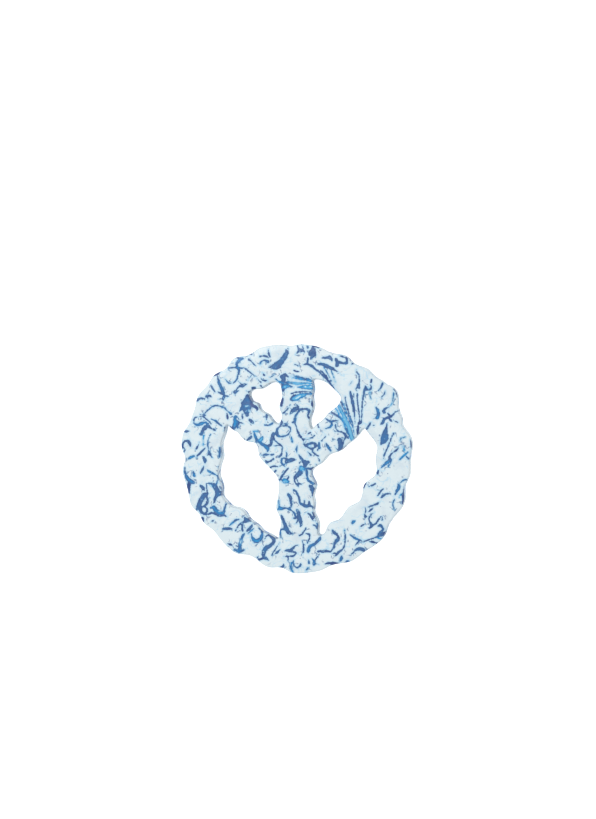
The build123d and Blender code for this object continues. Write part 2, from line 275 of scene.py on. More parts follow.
    (SKY, (70, -67.3, 1), (73, -68.3, 0.8), (76, -66.8, 0.5)),
    (NAVY, (64, -70.9, 1), (67, -71.5, 2.2), (70.3, -72.2, 1.4)),
    (BLUE, (51, -53.3, 1.2), (49.5, -54.5, 2.6), (48.7, -56, 1.2)),
    (NAVY, (55.5, -58.5, 0.6), (57.5, -57, 1.8), (58.8, -56.5, 1)),
    (SLATE, (60, -42, 1.2), (60.5, -44.5, 1), (59.7, -47, 0.8), (60, -49.5, 2)),
    (SLATE, (72.5, -36.3, 0.8), (70, -38.5, 1.4), (66, -40, 1.2), (62.5, -41.3, 0.8)),
    (SLATE, (67, -42, 0.8), (64.5, -44, 1.4), (62.5, -45.7, 0.8)),
    (SLATE, (68, -45.7, 0.5), (65, -48, 0.9), (63.5, -51, 1.4), (64, -54, 1.6), (65.5, -56.5, 2.6),
     (64, -59, 1.5), (62.8, -59.3, 0.6)),
    (SLATE, (66, -57.3, 2), (69, -55.5, 1.6), (71.5, -52, 1.2), (73.5, -49.5, 0.6)),
    (SLATE, (74.7, -49, 0.6), (74.8, -52, 1.6)),
    (SLATE, (75.5, -25.5, 1.4), (73, -28.5, 1.5), (71, -31.5, 1.6)),
    (SLATE, (82, -29.7, 1), (78, -30, 1.5), (75.5, -31.5, 2), (73.5, -33, 1)),
    (BLUE, (88.5, -21, 1), (89, -24, 3), (87.5, -27, 2.6), (86, -30, 1)),
    (AZURE, (90, -20.3, 0.6), (93, -17.8, 1.4), (97, -17.3, 0.7)),
    (NAVY, (94.2, -22.5, 1.4), (93.8, -27, 3.2), (93.4, -31.5, 4), (92.9, -35.5, 3), (92, -38, 1)),
    (SKY, (93, -28, 1), (91, -30, 1), (89.5, -32.5, 0.6)),
    (AZURE, (85.5, -34, 0.8), (84, -38, 1.2), (84.5, -41, 1.2), (85, -43, 0.6)),
    (NAVY, (60.8, -20.7, 0.6), (59.6, -22.7, 1.3), (58.9, -25, 0.6)),
    (SLATE, (63, -23.7, 0.6), (66, -22.7, 1.5), (68.5, -21.2, 1.4)),
    (NAVY, (71.5, -10, 1), (71, -12, 1.8), (70.5, -13.5, 0.6)),
    # Rim, right
    (SLATE, (89, 10.5, 1), (86.5, 7.5, 1.6), (83.5, 5.5, 1), (81.5, 3, 2), (80.7, -1, 2.2)),
    (BLUE, (82, 0, 2), (79.5, -2.5, 3), (77, -4.5, 2), (74, -7, 0.8)),
    (AZURE, (83, -1, 1), (80, -6, 1.4)),
    (SLATE, (83.5, 20.5, 0.9), (81.5, 15.5, 1.6), (79.5, 10, 1.2), (77, 5, 1.4), (76, 1, 1.1)),
    (SLATE, (84.5, 22.5, 1), (84.6, 21, 1)),
    (AZURE, (97, 6.5, 1), (93, 3, 1.9), (90, 0, 1.1)),
    (BLUE, (95.5, 2.5, 0.6), (97.5, 0.8, 1.9), (98.6, 2, 0.8)),
    (SKY, (92.5, 11.5, 0.6), (93.8, 8, 1)),
    (SKY, (90, 16.5, 0.8), (91.5, 18.5, 1), (94.5, 19, 0.8)),
    (NAVY, (98.8, 17, 0.8), (99.9, 12, 1.8), (99.4, 8, 1)),
    (SLATE, (78.8, 30.5, 0.9), (78.3, 26.5, 2.4), (77, 22, 4.6), (76.9, 18.4, 6.8), (75.2, 15, 4),
     (73.6, 12.8, 1.2)),
    (SLATE, (61, 25.8, 1.5), (63, 28.5, 2), (64.5, 31.5, 1.4)),
    (NAVY, (67, 29, 1.2), (67.8, 29.2, 1)),
    (BLUE, (69.5, 44.7, 1.4), (71.3, 41, 2.9), (70.9, 37, 3.4), (69.8, 35.3, 2.4)),
    (SLATE, (80.5, 44.6, 0.8), (78.5, 44, 1.4), (76.3, 42.5, 2.4), (76, 41, 3.4), (76.8, 40, 2)),
    (SKY, (84.5, 57, 1), (84, 52, 0.9), (83, 48, 0.7), (80.5, 44.6, 0.8)),
    (SLATE, (79.5, 39.5, 1), (81, 38, 1.6), (82.5, 37, 2), (85, 39.5, 1.2), (87.5, 41.5, 0.9)),
    (SLATE, (82, 36.5, 2), (79, 35.5, 2.2), (76.7, 34.5, 2.2), (75.2, 31.7, 3), (73.5, 30, 1.2)),
    (SLATE, (80.5, 35.5, 1), (82, 33.5, 2), (83, 32.7, 1)),
    (NAVY, (85.5, 33, 0.8), (87, 32, 1.5), (88, 31.8, 0.7)),
    (NAVY, (84, 60, 0.6), (86, 57.5, 0.9), (87, 54, 0.5)),
    (BLUE, (71.5, 59, 1.2), (73.5, 61.5, 1.4), (74.8, 65.3, 1.5)),
    (SLATE, (74.5, 53.5, 1.2), (76.3, 56, 1.5), (77, 58.5, 0.7)),
    (NAVY, (65.3, 68.5, 1), (65, 66.2, 1.5)),
    # Rim, top right
    (SLATE, (64.5, 64, 1), (65.2, 61.8, 1.5), (64, 60, 2), (61.5, 59.8, 2), (60, 62.5, 1.8)),
    (SLATE, (60, 62.5, 1.4), (59, 58, 2), (58, 52, 1.6), (57.3, 45, 1.4), (57, 38, 1.2),
     (56.5, 31, 1.3)),
    (SKY, (64, 59, 0.8), (64, 55, 0.7), (65, 52, 0.5)),
    (SLATE, (52.2, 77, 0.6), (52.8, 74.5, 1.4), (54.5, 72.5, 1), (54.8, 69, 0.8), (54.6, 66, 1.6),
     (54, 62.5, 2.8), (54.8, 60.8, 1.4)),
    (SLATE, (53, 62, 1.2), (51.5, 60.3, 1), (53, 58.7, 0.6)),
    (SLATE, (46.5, 64, 0.6), (48.5, 66.8, 1.1)),
    (NAVY, (47.5, 81.2, 0.7), (48.8, 82, 1.5), (49.4, 82.7, 0.8)),
    (SLATE, (34.5, 86, 2), (35.5, 83.5, 3.4), (35.5, 81, 2.6), (34.6, 80, 1)),
    (SLATE, (36.5, 83.5, 2.8), (40, 82.8, 2.2), (43.3, 82.8, 2.8), (44, 85, 1.4), (43, 87, 0.9)),
    (NAVY, (36.5, 89.2, 0.8), (39.5, 88.3, 1.5), (42.5, 87.3, 0.9)),
    (SLATE, (22, 87.3, 0.8), (25, 87.3, 2), (29.3, 87.4, 3), (31, 84.5, 1)),
    (SLATE, (17.5, 81.2, 0.8), (20, 82, 2.2), (24, 81.3, 3), (28, 79.3, 3.2), (32, 77.5, 2.6),
     (36, 75, 0.8)),
    (SLATE, (6, 81.5, 1), (9, 82, 2), (13, 80.5, 2.2), (16, 77.5, 1.8), (20, 75, 1.4), (24, 71.5, 2),
     (28, 67.5, 2), (31, 63.5, 1.4), (34, 59.3, 1.1), (37.5, 55, 0.6)),
    (SLATE, (21, 76.5, 0.8), (24, 73.6, 1.6), (27.5, 69.5, 1.4)),
    (SLATE, (10, 87, 1.2), (9.5, 84.5, 1.6), (9.5, 82, 1.6)),
    (SLATE, (11.5, 90, 2.6), (13.5, 92, 5.8), (15, 90.3, 4.4), (13, 87.3, 2.4), (12.6, 86.2, 0.8)),
    (SLATE, (14, 96.5, 1.6), (14.5, 94, 4)),
    (NAVY, (14.5, 97, 0.9), (18, 96.2, 1), (20, 95.4, 0.5)),
    (SLATE, (0.8, 97.3, 1), (2, 95, 2), (4.5, 93.8, 3), (6.5, 93.3, 1.2), (7, 92, 0.6)),
    (SLATE, (2.5, 94.5, 1.6), (0.8, 91.8, 1.6), (-1, 90.3, 0.8)),
    (BLUE, (5, 97.3, 1.2), (6, 95, 1.6)),
    (BLUE, (9, 97.2, 1), (9.7, 96, 1.6)),
    (SKY, (24, 79, 1), (26.5, 75, 0.7), (30.5, 67, 0.5)),
    (SKY, (30.5, 76, 0.6), (34, 66.5, 0.6)),
    (NAVY, (-1.5, 81.5, 1.2), (1, 80.6, 1.4)),
    (NAVY, (-2.5, 76.4, 1), (-0.5, 75.8, 1.8), (1.7, 75.5, 1)),
    # Post, streaked top
    (SLATE, (-14.3, 71, 1.4), (-12, 70.5, 4.6), (-11.5, 68, 4), (-11, 66.3, 2)),
    (SLATE, (-13, 72.3, 1.6), (-10, 72.8, 2.4), (-7.5, 70.8, 1.2)),
    (BLUE, (-4, 72, 0.6), (0, 71.1, 1.4), (6, 69.9, 1.4), (12, 68.5, 1), (15, 67, 0.6)),
    (AZURE, (-3.5, 70.3, 0.8), (2, 69.2, 1.6), (10, 68, 1.9), (14.5, 66.5, 1)),
    (AZURE, (-18.5, 69, 0.5), (-15, 66.8, 1.3), (-11, 65, 2), (-6, 63.3, 1)),
    (AZURE, (-12.6, 60.5, 2.2), (-11, 62.3, 4.2), (-7, 62.7, 2.4), (-3, 62, 0.8)),
    (NAVY, (-12.6, 64.4, 1.4), (-11.8, 61.6, 3), (-12, 58.4, 1.2)),
    (AZURE, (1, 62, 0.8), (6, 61.8, 3), (11, 61.8, 4), (14.3, 61, 3)),
    (SKY, (-9, 66.5, 1.4), (0, 65, 2), (8, 65.4, 1.6), (14, 64.6, 1)),
    (SLATE, (-5, 56.4, 0.7), (0, 57.6, 1.1), (8, 58, 1.2), (14.5, 57.6, 0.7)),
    (AZURE, (-4.3, 51.3, 3), (-1, 52.5, 5.2), (3, 54, 4.8), (8, 55.9, 2.2), (14.5, 56.3, 1.1)),
    (NAVY, (-3.2, 50.2, 1.2), (-4.6, 51.4, 2), (-3.8, 53.6, 1.6), (-1, 55.2, 1)),
    (NAVY, (-13.6, 45.6, 1.6), (-12.9, 49, 3), (-12, 52.8, 1)),
    (NAVY, (13.4, 50.6, 1.4), (13.7, 47.8, 2.8), (13.5, 45.2, 1)),
    (SLATE, (-5.5, 47, 0.7), (-8, 43, 1.1), (-11.8, 39.3, 1.1)),
    (SLATE, (-6, 38.3, 0.8), (-4, 41, 3.2), (-1, 43, 4), (1, 44.5, 2.5), (0, 46.5, 0.8)),
    (SLATE, (2, 42.3, 1.8), (6.5, 43.2, 1.8), (10, 42.5, 2.4), (11, 41, 2), (9.5, 38, 1.4),
     (10.7, 35, 1.6), (11.2, 33.7, 0.8)),
    (BLUE, (2.5, 42, 1.6), (-0.3, 38, 1.8), (-1.5, 34, 2.4), (-1.3, 31, 1.6)),
    (SLATE, (-1.3, 31, 1.4), (0.2, 26, 1), (1.5, 22.5, 1.8), (3, 19.5, 1.8), (5, 17, 1.6),
     (6, 15.5, 0.8)),
    (SLATE, (-3.7, 31.4, 1), (-1.5, 32.6, 1.8)),
    (SLATE, (5.5, 17.3, 0.5), (10, 16.8, 0.6), (13.8, 18.5, 0.8), (15.4, 19.9, 1.4)),
    (NAVY, (10, 21.3, 1), (12, 22.6, 1.4)),
    # Middle of the post: a pale oval ringed in blue, and the knots below it
    (SLATE, (-13.5, 34, 0.8), (-13.1, 31, 2.1), (-14.5, 28.5, 1.2)),
    (BLUE, (-11, 30.5, 0.6), (-9, 29.6, 2), (-7.6, 28.4, 1)),
    (BLUE, (-17.6, 22.3, 2.6), (-17.3, 25.2, 1.3), (-15, 27.6, 1.2), (-11, 28.3, 0.9), (-7, 27.8, 1.3),
     (-5.3, 25.8, 1.4), (-6.2, 22.4, 1.1), (-9, 20, 1.4), (-13, 19.2, 1.7), (-16.3, 19.8, 2.3),
     (-17.8, 22, 2.2)),
    (SLATE, (-20.5, 22, 2), (-20, 17, 1.6), (-17.5, 14.2, 1.8), (-14.5, 12, 1.7), (-12.7, 10.6, 1.4)),
    (SLATE, (-20, 11, 0.6), (-15.5, 11.3, 1), (-12.8, 10.6, 1.4), (-13, 5, 1.2), (-14, 3, 2),
     (-16, 1, 0.8)),
    (AZURE, (-4.8, 19, 0.6), (-4.5, 16.5, 1.7), (-3.8, 14.5, 1.2)),
    (BLUE, (0.5, 11.5, 1.1), (-0.3, 8, 1.8), (0.6, 5, 0.8)),
    (SLATE, (6.3, 12.6, 0.8), (8.5, 11.2, 2.4), (10.3, 12.7, 2.4), (14, 13.6, 2.4), (16.6, 12.5, 2.4),
     (16, 10, 2), (13.8, 8.6, 2), (10.8, 9.3, 1.8), (9.3, 10.7, 1.4)),
    (BLUE, (19.5, 14.3, 1), (19.7, 11.2, 2.4), (20.4, 9.2, 1.8)),
    (SLATE, (19.6, 9.8, 1.4), (18, 7, 1)),
    (SLATE, (9.8, 6, 1), (10.8, 4.8, 1.2), (12.5, 3.3, 1.9)),
    (SLATE, (14, 8, 1.2), (14.3, 5.8, 1.1), (16, 4, 1.4), (19, 2.6, 1.1)),
    (SLATE, (19.4, 0.3, 0.7), (20, -2, 0.8)),
    (BLUE, (-9, 5.5, 0.8), (-8.6, 3, 1.6), (-9.3, 1.2, 1.2)),
    (SLATE, (-9.3, -2.6, 2.4), (-6.5, -1.7, 4), (-3.5, -0.7, 3.2), (-1, -1, 1)),
    (BLUE, (-9, -3.8, 1.4), (-11.5, -5, 1), (-13.4, -3.5, 1.3), (-13.2, -0.8, 1.4),
     (-11, 0.6, 1.4), (-8.7, -0.6, 1.8)),
    (SLATE, (-23, -7.7, 1.4), (-20.5, -6.6, 1.6), (-17, -7, 1.1), (-13.5, -6, 0.9),
     (-11, -6.2, 1), (-10, -7.5, 0.6)),
    (SLATE, (-7.5, -8.5, 1.3), (-10, -11.5, 1.6), (-13, -15.5, 1.8), (-15, -18.6, 1.5)),
    (SLATE, (-19.5, -12, 1), (-18.3, -10.2, 1.7)),
    (AZURE, (-12.7, -18.3, 1), (-11, -19, 3.6), (-9.3, -19.8, 4.2), (-7.9, -20, 2.4)),
    (SLATE, (-8.5, -18, 2), (-7.3, -16.5, 1.4), (-7, -14.7, 0.8)),
    (SLATE, (2, 3.5, 1), (3.5, 1.2, 2), (5.3, -1.3, 3), (8, -3.6, 4.6), (10.5, -2.8, 2.4)),
    (SLATE, (3, -2.5, 0.8), (2.5, -3.6, 1)),
    (SLATE, (7.5, -4.5, 4), (7, -6.5, 3)),
    (AZURE, (2.8, -7.2, 1.6), (4.6, -8.8, 5.6), (6.3, -8.6, 3)),
    (SLATE, (3, -12, 5), (0.5, -14.5, 4), (-1.4, -17, 2.4), (-1.7, -20, 1.4), (0.3, -22.5, 1.6),
     (1.8, -24.5, 0.6)),
    (SLATE, (-0.5, -16.5, 1), (1, -20.3, 1), (3, -22.2, 1), (4.8, -22, 0.6)),
    (BLUE, (8.6, -9, 2), (8.8, -13, 1.8), (9.5, -17, 2), (11.5, -20, 1.9), (14, -21.3, 2),
     (15.3, -22, 0.8)),
    (SLATE, (9.3, -8.4, 1.2), (12, -8.5, 1.6), (13.8, -7.5, 1.4)),
    (NAVY, (12.8, -9, 1.5), (12.6, -10.8, 0.8)),
    (NAVY, (17, -4.8, 1.2), (17.5, -5.5, 1.4)),
    (SLATE, (11.2, -23.2, 1.6), (12.8, -24.7, 3.4), (13.9, -27.7, 3.2), (13.8, -30.2, 1.6),
     (13.3, -32.3, 0.6)),
    # Post, lower length
    (SLATE, (-2.5, -27.5, 1.8), (-0.5, -28.5, 2), (1, -31.5, 1.6), (2.3, -35, 2), (3, -38.5, 1.8),
     (6, -40, 2.8), (8.7, -41, 3.4), (11, -40.5, 2.6), (13, -41.5, 1.6), (14.5, -44, 0.9)),
    (SLATE, (11, -37, 1.2), (11, -39.5, 2.2)),
    (SLATE, (6.5, -36, 1), (7, -39, 1.6)),
    (SLATE, (-7.5, -31.2, 2.4), (-6, -33, 3.2), (-4.8, -37, 2.5), (-4.9, -41, 2), (-6.8, -43, 1.2)),
    (AZURE, (-15.8, -36.5, 1), (-15.5, -39, 1.5), (-15.5, -42, 1.6)),
    (BLUE, (-16.6, -44.2, 1.4), (-14.5, -43.4, 3), (-11.5, -43.2, 1.7), (-8, -43.3, 1.8), (-4.5, -45, 1.6),
     (-1.7, -48, 1.6), (-0.6, -51, 1.4)),
    (SLATE, (0.5, -44.5, 2), (1.5, -47, 3), (1.9, -50.5, 3.8), (3.4, -54, 3.4), (4, -57.3, 2.2),
     (3.3, -58.7, 1)),
    (SLATE, (0.5, -51, 2), (-1.5, -52, 1.6), (-3, -51.3, 0.8)),
    (SLATE, (1, -53.5, 2), (-0.4, -56, 1.1)),
    (SLATE, (9.3, -46.8, 0.9), (11.7, -48.5, 2), (13, -51, 1.6), (14.6, -53.7, 1)),
    (SLATE, (13.5, -46.7, 1.1), (15, -49.3, 1.5), (15, -51.5, 0.8)),
    (NAVY, (17, -48.5, 0.6), (18.3, -53, 0.8)),
    (SLATE, (14.5, -57.3, 0.8), (17, -58.5, 1.8), (18.3, -61, 1.3), (19, -63.5, 0.7)),
    (BLUE, (17.3, -56.2, 1), (18.7, -57.6, 1.9), (18.6, -59, 1)),
    (SLATE, (-13.3, -49.5, 1.6), (-12, -52.5, 2.4), (-10.5, -57, 2.8), (-9, -61, 4.2), (-7.5, -63.7, 3.8),
     (-4, -65.2, 1)),
    (BLUE, (-9.5, -61.5, 2), (-13, -61.6, 1.5), (-14.3, -62.7, 1), (-14, -66, 1.6), (-13.8, -69, 0.9)),
    (SLATE, (8, -60.5, 1.4), (6.5, -63, 1.8), (4.5, -65.5, 1.2), (2.5, -66.7, 1.2)),
    (SLATE, (8, -64.8, 0.8), (11, -65.5, 2), (11.2, -69, 1.3), (9.5, -73, 1.1)),
    # Left arm
    (SLATE, (-44.2, 55.4, 1), (-44.1, 50.8, 5.6), (-44.6, 46, 9.5), (-44.4, 41.5, 6), (-43.8, 38, 3.4)),
    (SLATE, (-46, 46, 5), (-48.6, 43.2, 3), (-50.6, 40.8, 0.9)),
    (NAVY, (-42.5, 51.6, 1.6), (-41, 48, 3), (-39, 46, 3), (-36.4, 44.8, 2.6), (-35, 43.4, 2.2),
     (-35.2, 41.4, 0.9)),
    (SLATE, (-42.3, 34, 1), (-41, 33, 3), (-39, 31.6, 3), (-38, 30.8, 1)),
    (SLATE, (-48.5, 38.5, 0.8), (-48, 36, 1.6), (-48, 34, 0.9)),
    (BLUE, (-54.5, 36.5, 1.5), (-54.6, 33, 3.4), (-54.5, 29, 4.2), (-55.8, 25.8, 2)),
    (NAVY, (-59, 28.3, 0.6), (-57.2, 26, 1.4), (-55.6, 25, 1.4)),
    (BLUE, (-52.8, 32, 2.6), (-52, 27, 2.3)),
    (BLUE, (-54.3, 36.8, 1.2), (-52.3, 36, 1), (-51.4, 34, 0.8)),
    (SLATE, (-51, 31, 1), (-48.6, 30.8, 1.3), (-47, 30, 0.6)),
    (SLATE, (-27.5, 38.2, 0.7), (-26.5, 37, 1.6), (-26.7, 33.8, 0.8)),
    (BLUE, (-28, 29, 1.2), (-25, 28.8, 1.3), (-22, 30, 2), (-20.8, 31.1, 0.8)),
    (SLATE, (-44, 15.9, 0.6), (-42, 17.2, 2.3), (-40.2, 18.5, 2), (-40.3, 20, 0.6)),
    (BLUE, (-38, 23.3, 1.4), (-37, 20.5, 2), (-35.7, 17, 2.2), (-35.2, 14.6, 2)),
    (SKY, (-38, 23.3, 1.5), (-35.5, 23.3, 1.5), (-34.5, 23.3, 0.6)),
    (AZURE, (-34, 15.3, 1.4), (-31.7, 16, 3.6), (-30.5, 18, 2)),
    (BLUE, (-32.3, 14, 2.8), (-29, 11.6, 2.8), (-26, 9.3, 3.6), (-25.6, 7, 2.3), (-26, 6, 1)),
    (SLATE, (-26, 10, 3), (-23.2, 12, 2.8), (-22.3, 16, 2.8), (-21.3, 20, 2.8), (-19, 21.6, 2.4),
     (-17, 22, 2.6)),
    (BLUE, (-31, 2.6, 0.8), (-27.5, 3.2, 2), (-24.5, 3.3, 1.3)),
    (SLATE, (-23.4, 3.2, 1), (-22, 3.3, 2), (-20.3, 3.5, 1)),
    (SLATE, (-27.5, -2, 1.2), (-25.5, -3, 2), (-23, -2.2, 1.6), (-20.5, -0.3, 1.4)),
    # Right arm, with a fan of long streaks across its end
    (SKY, (37, 45.8, 2.4), (42, 36, 3.2), (46.6, 24, 3.8), (48.6, 17.2, 3.4)),
    (SKY, (34.2, 43.6, 1), (40.5, 32, 1.4), (45.6, 20, 1.2)),
    (SLATE, (30.8, 40, 1.3), (33.5, 38.5, 2), (36.5, 37, 1.9), (39, 34, 1.4), (42.5, 29.3, 0.9),
     (45, 24, 0.5)),
    (SLATE, (38.2, 50.6, 1), (40.5, 45, 1), (43.5, 38, 0.8), (48, 29, 0.7)),
    (SKY, (39.6, 50, 0.7), (43.6, 41, 1.2), (48.6, 30, 0.9), (50.2, 22, 0.8)),
    (SLATE, (42.4, 54, 0.8), (43.6, 47, 1), (46.3, 38, 1), (50, 28, 0.6)),
    (SLATE, (46.9, 57.5, 1.6), (48, 53, 2.6), (49.3, 47, 2.6), (50.3, 41, 2), (50.8, 35, 1),
     (51.2, 30, 0.6)),
    (SLATE, (50, 56.5, 0.9), (50.2, 53, 0.8)),
    (SLATE, (53, 56.5, 1), (53, 51, 1.4), (54, 44, 1.2), (55, 36, 0.9), (55, 30, 0.7)),
    (NAVY, (54, 31, 1.1), (53.5, 27, 2), (53.2, 23.2, 1.8), (53, 21.6, 1)),
    (BLUE, (25.7, 34.4, 1), (27.5, 33.5, 1.6), (30, 32.2, 2), (33, 32.8, 1.8), (37, 33, 0.8)),
    (BLUE, (30.7, 32, 2), (30.8, 29.5, 1.9), (29, 27.3, 1.7), (26, 26.3, 0.9), (24.5, 26, 0.4)),
    (SLATE, (34, 30, 1), (34.3, 27, 1.6), (35.4, 25, 1.2), (37, 24, 0.8)),
    (SLATE, (33, 24.2, 0.6), (36, 23.6, 1), (39.5, 23.3, 1.6), (42, 21.6, 2.3), (44.3, 19, 2),
     (45.3, 18, 0.8)),
    (SLATE, (42.5, 21, 2), (43, 18.5, 1.5), (41.5, 16, 1.1), (41, 13, 0.6)),
    (SLATE, (36.2, 16.4, 2), (38, 15.8, 4.4), (38.5, 12, 4.2), (38, 9.3, 3.2), (36.2, 7.7, 1.6)),
    (SLATE, (34, 10.4, 0.5), (35.2, 8.4, 1)),
    (BLUE, (26, 13, 1.5), (28, 10, 2.4), (29.7, 7.3, 1.6)),
    (SLATE, (22, 15.5, 1), (24, 18, 1.2), (25.5, 19.5, 0.8)),
    (NAVY, (32, 17.2, 1), (32.1, 16.3, 1.2)),
    (NAVY, (18.6, 30.2, 0.9), (18.9, 28.5, 1.7), (19.9, 26.2, 0.7)),
)

# Painted highlights: cyan-white specular glints inside the bluest pools, laid in the same way
PAINTED_GLINTS = (
    ((-45, 45.2, 0.8), (-43.2, 45.6, 1.1)),
    ((-42.2, 42, 0.6), (-41.9, 40.8, 1)),
    ((-1.4, 51.8, 0.5), (1.2, 53, 1.6), (3.6, 54.4, 0.7)),
    ((6.4, 62.4, 0.5), (8, 62.4, 0.8)),
    ((11.8, 62.3, 0.8), (13, 62.1, 0.6)),
    ((5.6, -10.4, 0.9), (5.9, -11, 0.7)),
    ((-69.4, -46.4, 0.7), (-67.8, -46.7, 1)),
    ((-77, -23.6, 0.7), (-75.6, -24.6, 0.6)),
    ((11, 11.4, 0.8), (12, 11, 1)),
    ((-11.2, -20, 0.7), (-10.6, -20.6, 0.5)),
    ((62.3, 62, 0.4), (63, 60.9, 0.6)),
    ((-49.2, -71.5, 0.7), (-49.8, -74, 0.8)),
)

# The lists above are laid on the same bench as the outline. They are nudged because each vein
# was placed on the upper face, which stands above the bench.
MARBLING_NUDGE = (1.2, 0.3)
VEIN_STEP = 1.1            # mm between the points of a vein's course
VEIN_SAMPLES = 8           # steps in which each stretch of a vein's curve is first worked out
FIELD_REACH = 5.0          # mm beyond which a vein isn't felt
JUNCTION_FILLET = 0.45     # mm by which two veins run into each other
TINT_BLEND = 0.5           # mm over which the tint of one vein passes into the next
FOLD_REACH = 12.0          # mm from the edge within which strands fold over it
FOLD_SHIFT = 7.0           # mm of strands in the upper face that fold down over a wall
WANDER = (5.0, 2.5)        # mm that strands wander sideways on their way down, in two waves

# Pressed shape, metres
TOP_EDGE_RADIUS = 1.4 * MM
FOOT_EDGE_RADIUS = 1.4 * MM
WAVINESS = 0.32 * MM
WAVE_SIZE = 13 * MM
WAVE_DETAIL = 1.5
UNDERSIDE_SHARE = 0.5      # depth of the hollows in the underside beside those in the face
EDGE_DROOP = 0.35 * MM
DROOP_REACH = 6 * MM       # from the edge to where the face is level again
WALL_SLACK = 0.35 * MM
WALL_LUMP = 6 * MM         # width of one lump of a wall
SEED = 7

# Mesh spacing, mm
OUTLINE_SAMPLES = 24       # steps in which each stretch of an outline is first worked out
JOINT_SAMPLES = 400        # points of a joint line before the gaps are taken out of it
WALL_STEP = 0.75
TOP_SPACING = 0.76
FOOT_SPACING = 1.15
SEAM_STEP = 0.8
CLEARANCE = 0.55           # share of the spacing kept clear beside an edge of a sheet
SQUARE_REACH = 3.0         # distance from the edge up to which it is measured square to it

FOOT_ROWS = 4              # spans round the foot edge
WALL_ROWS = 8              # spans up the wall
TOP_ROWS = 4               # spans round the top edge
FIT = 0.9995               # keeps the skin just inside the box of the CAD
RIM_SPAN = 150             # mm: only the rim is wider than this
ARM_SIDE = 12              # mm: the middle of an arm is farther than this from that of the post

# Painted shade: a dark line along the top and the foot of each wall, standing in for the shade at the
# rounded edges
EDGE_SHADE_WIDTH = 0.6      # mm of the faces that it takes
EDGE_SHADE_START = 0.2      # share of the height, from the middle, at which it begins
EDGE_SHADE_FADE = 0.25      # share of the height over which it gains its full strength
EDGE_SHADE_STRENGTH = 0.42


# ---------------------------------------------------------------------------------------
# Settings
# ---------------------------------------------------------------------------------------

class SpokedRingShape(bpy.types.PropertyGroup):
    """Sizes of the pressed shape."""

    top_edge_radius: FloatProperty(
        name="Top Edge Radius", description="Rounding left by the upper plate",
        default=TOP_EDGE_RADIUS, min=0, unit="LENGTH")
    foot_edge_radius: FloatProperty(
        name="Foot Edge Radius", description="Rounding where the plastic settled",
        default=FOOT_EDGE_RADIUS, min=0, unit="LENGTH")
    waviness: FloatProperty(
        name="Waviness", description="Depth of the shallow hollows in the pressed face",
        default=WAVINESS, min=0, unit="LENGTH")
    wave_size: FloatProperty(
        name="Wave Size", description="Width of one hollow",
        default=WAVE_SIZE, min=MM, unit="LENGTH")
    edge_droop: FloatProperty(
        name="Edge Droop", description="Fall of the upper face towards its edges",
        default=EDGE_DROOP, min=0, unit="LENGTH")
    wall_slack: FloatProperty(
        name="Wall Slack", description="Depth to which the walls are drawn in between the lumps",
        default=WALL_SLACK, min=0, unit="LENGTH")
    seed: IntProperty(
        name="Seed", description="Picks one set of hollows", default=SEED, min=0)


class SpokedRingColours(bpy.types.PropertyGroup):
    """Colours of the marbled plastic and of the stage."""

    body: FloatVectorProperty(
        name="Body", description="Bluish white of the plastic",
        default=(0.705, 0.810, 0.850), size=3, min=0, max=1, subtype="COLOR")
    cloud: FloatVectorProperty(
        name="Cloud", description="Faint grey lilac clouds in the body",
        default=(0.575, 0.68, 0.765), size=3, min=0, max=1, subtype="COLOR")
    halo: FloatVectorProperty(
        name="Halo", description="Pale blue that bleeds out of each vein",
        default=(0.36, 0.65, 0.85), size=3, min=0, max=1, subtype="COLOR")
    navy: FloatVectorProperty(
        name="Navy", description="Darkest veins",
        default=(0.013, 0.056, 0.222), size=3, min=0, max=1, subtype="COLOR")
    slate: FloatVectorProperty(
        name="Slate", description="Most of the veins",
        default=(0.034, 0.124, 0.322), size=3, min=0, max=1, subtype="COLOR")
    blue: FloatVectorProperty(
        name="Blue", description="Clear blue veins",
        default=(0.014, 0.160, 0.420), size=3, min=0, max=1, subtype="COLOR")
    azure: FloatVectorProperty(
        name="Azure", description="Bright pools",
        default=(0.003, 0.300, 0.660), size=3, min=0, max=1, subtype="COLOR")
    sky: FloatVectorProperty(
        name="Sky", description="Pale streaks",
        default=(0.14, 0.46, 0.70), size=3, min=0, max=1, subtype="COLOR")
    # Painted highlight: colour of the specular glints painted inside the pools
    painted_glint: FloatVectorProperty(
        name="Painted Glint", description="Cyan white lights in the pools",
        default=(0.62, 0.90, 0.95), size=3, min=0, max=1, subtype="COLOR")
    # Painted shade: colour of the dark line painted along the top and the foot of the walls
    edge: FloatVectorProperty(
        name="Edge", description="Dull line along the top and the foot of the walls",
        default=(0.16, 0.225, 0.30), size=3, min=0, max=1, subtype="COLOR")
    floor: FloatVectorProperty(
        name="Floor", description="Plain pale floor",
        default=(0.90, 0.90, 0.90), size=3, min=0, max=1, subtype="COLOR")


# ---------------------------------------------------------------------------------------
# Plan curves
# ---------------------------------------------------------------------------------------

def spaced_out(line, step, closed):
    """Points about step apart along a close-set line of points."""
    if closed:
        line = np.vstack((line, line[:1]))
    run = np.concatenate(([0], np.cumsum(np.linalg.norm(np.diff(line, axis=0), axis=1))))
    count = max(1, round(run[-1] / step))
    stops = np.linspace(0, run[-1], count + 1)
    if closed:
        stops = stops[:-1]
    return np.column_stack([np.interp(stops, run, line[:, axis]) for axis in range(line.shape[1])])


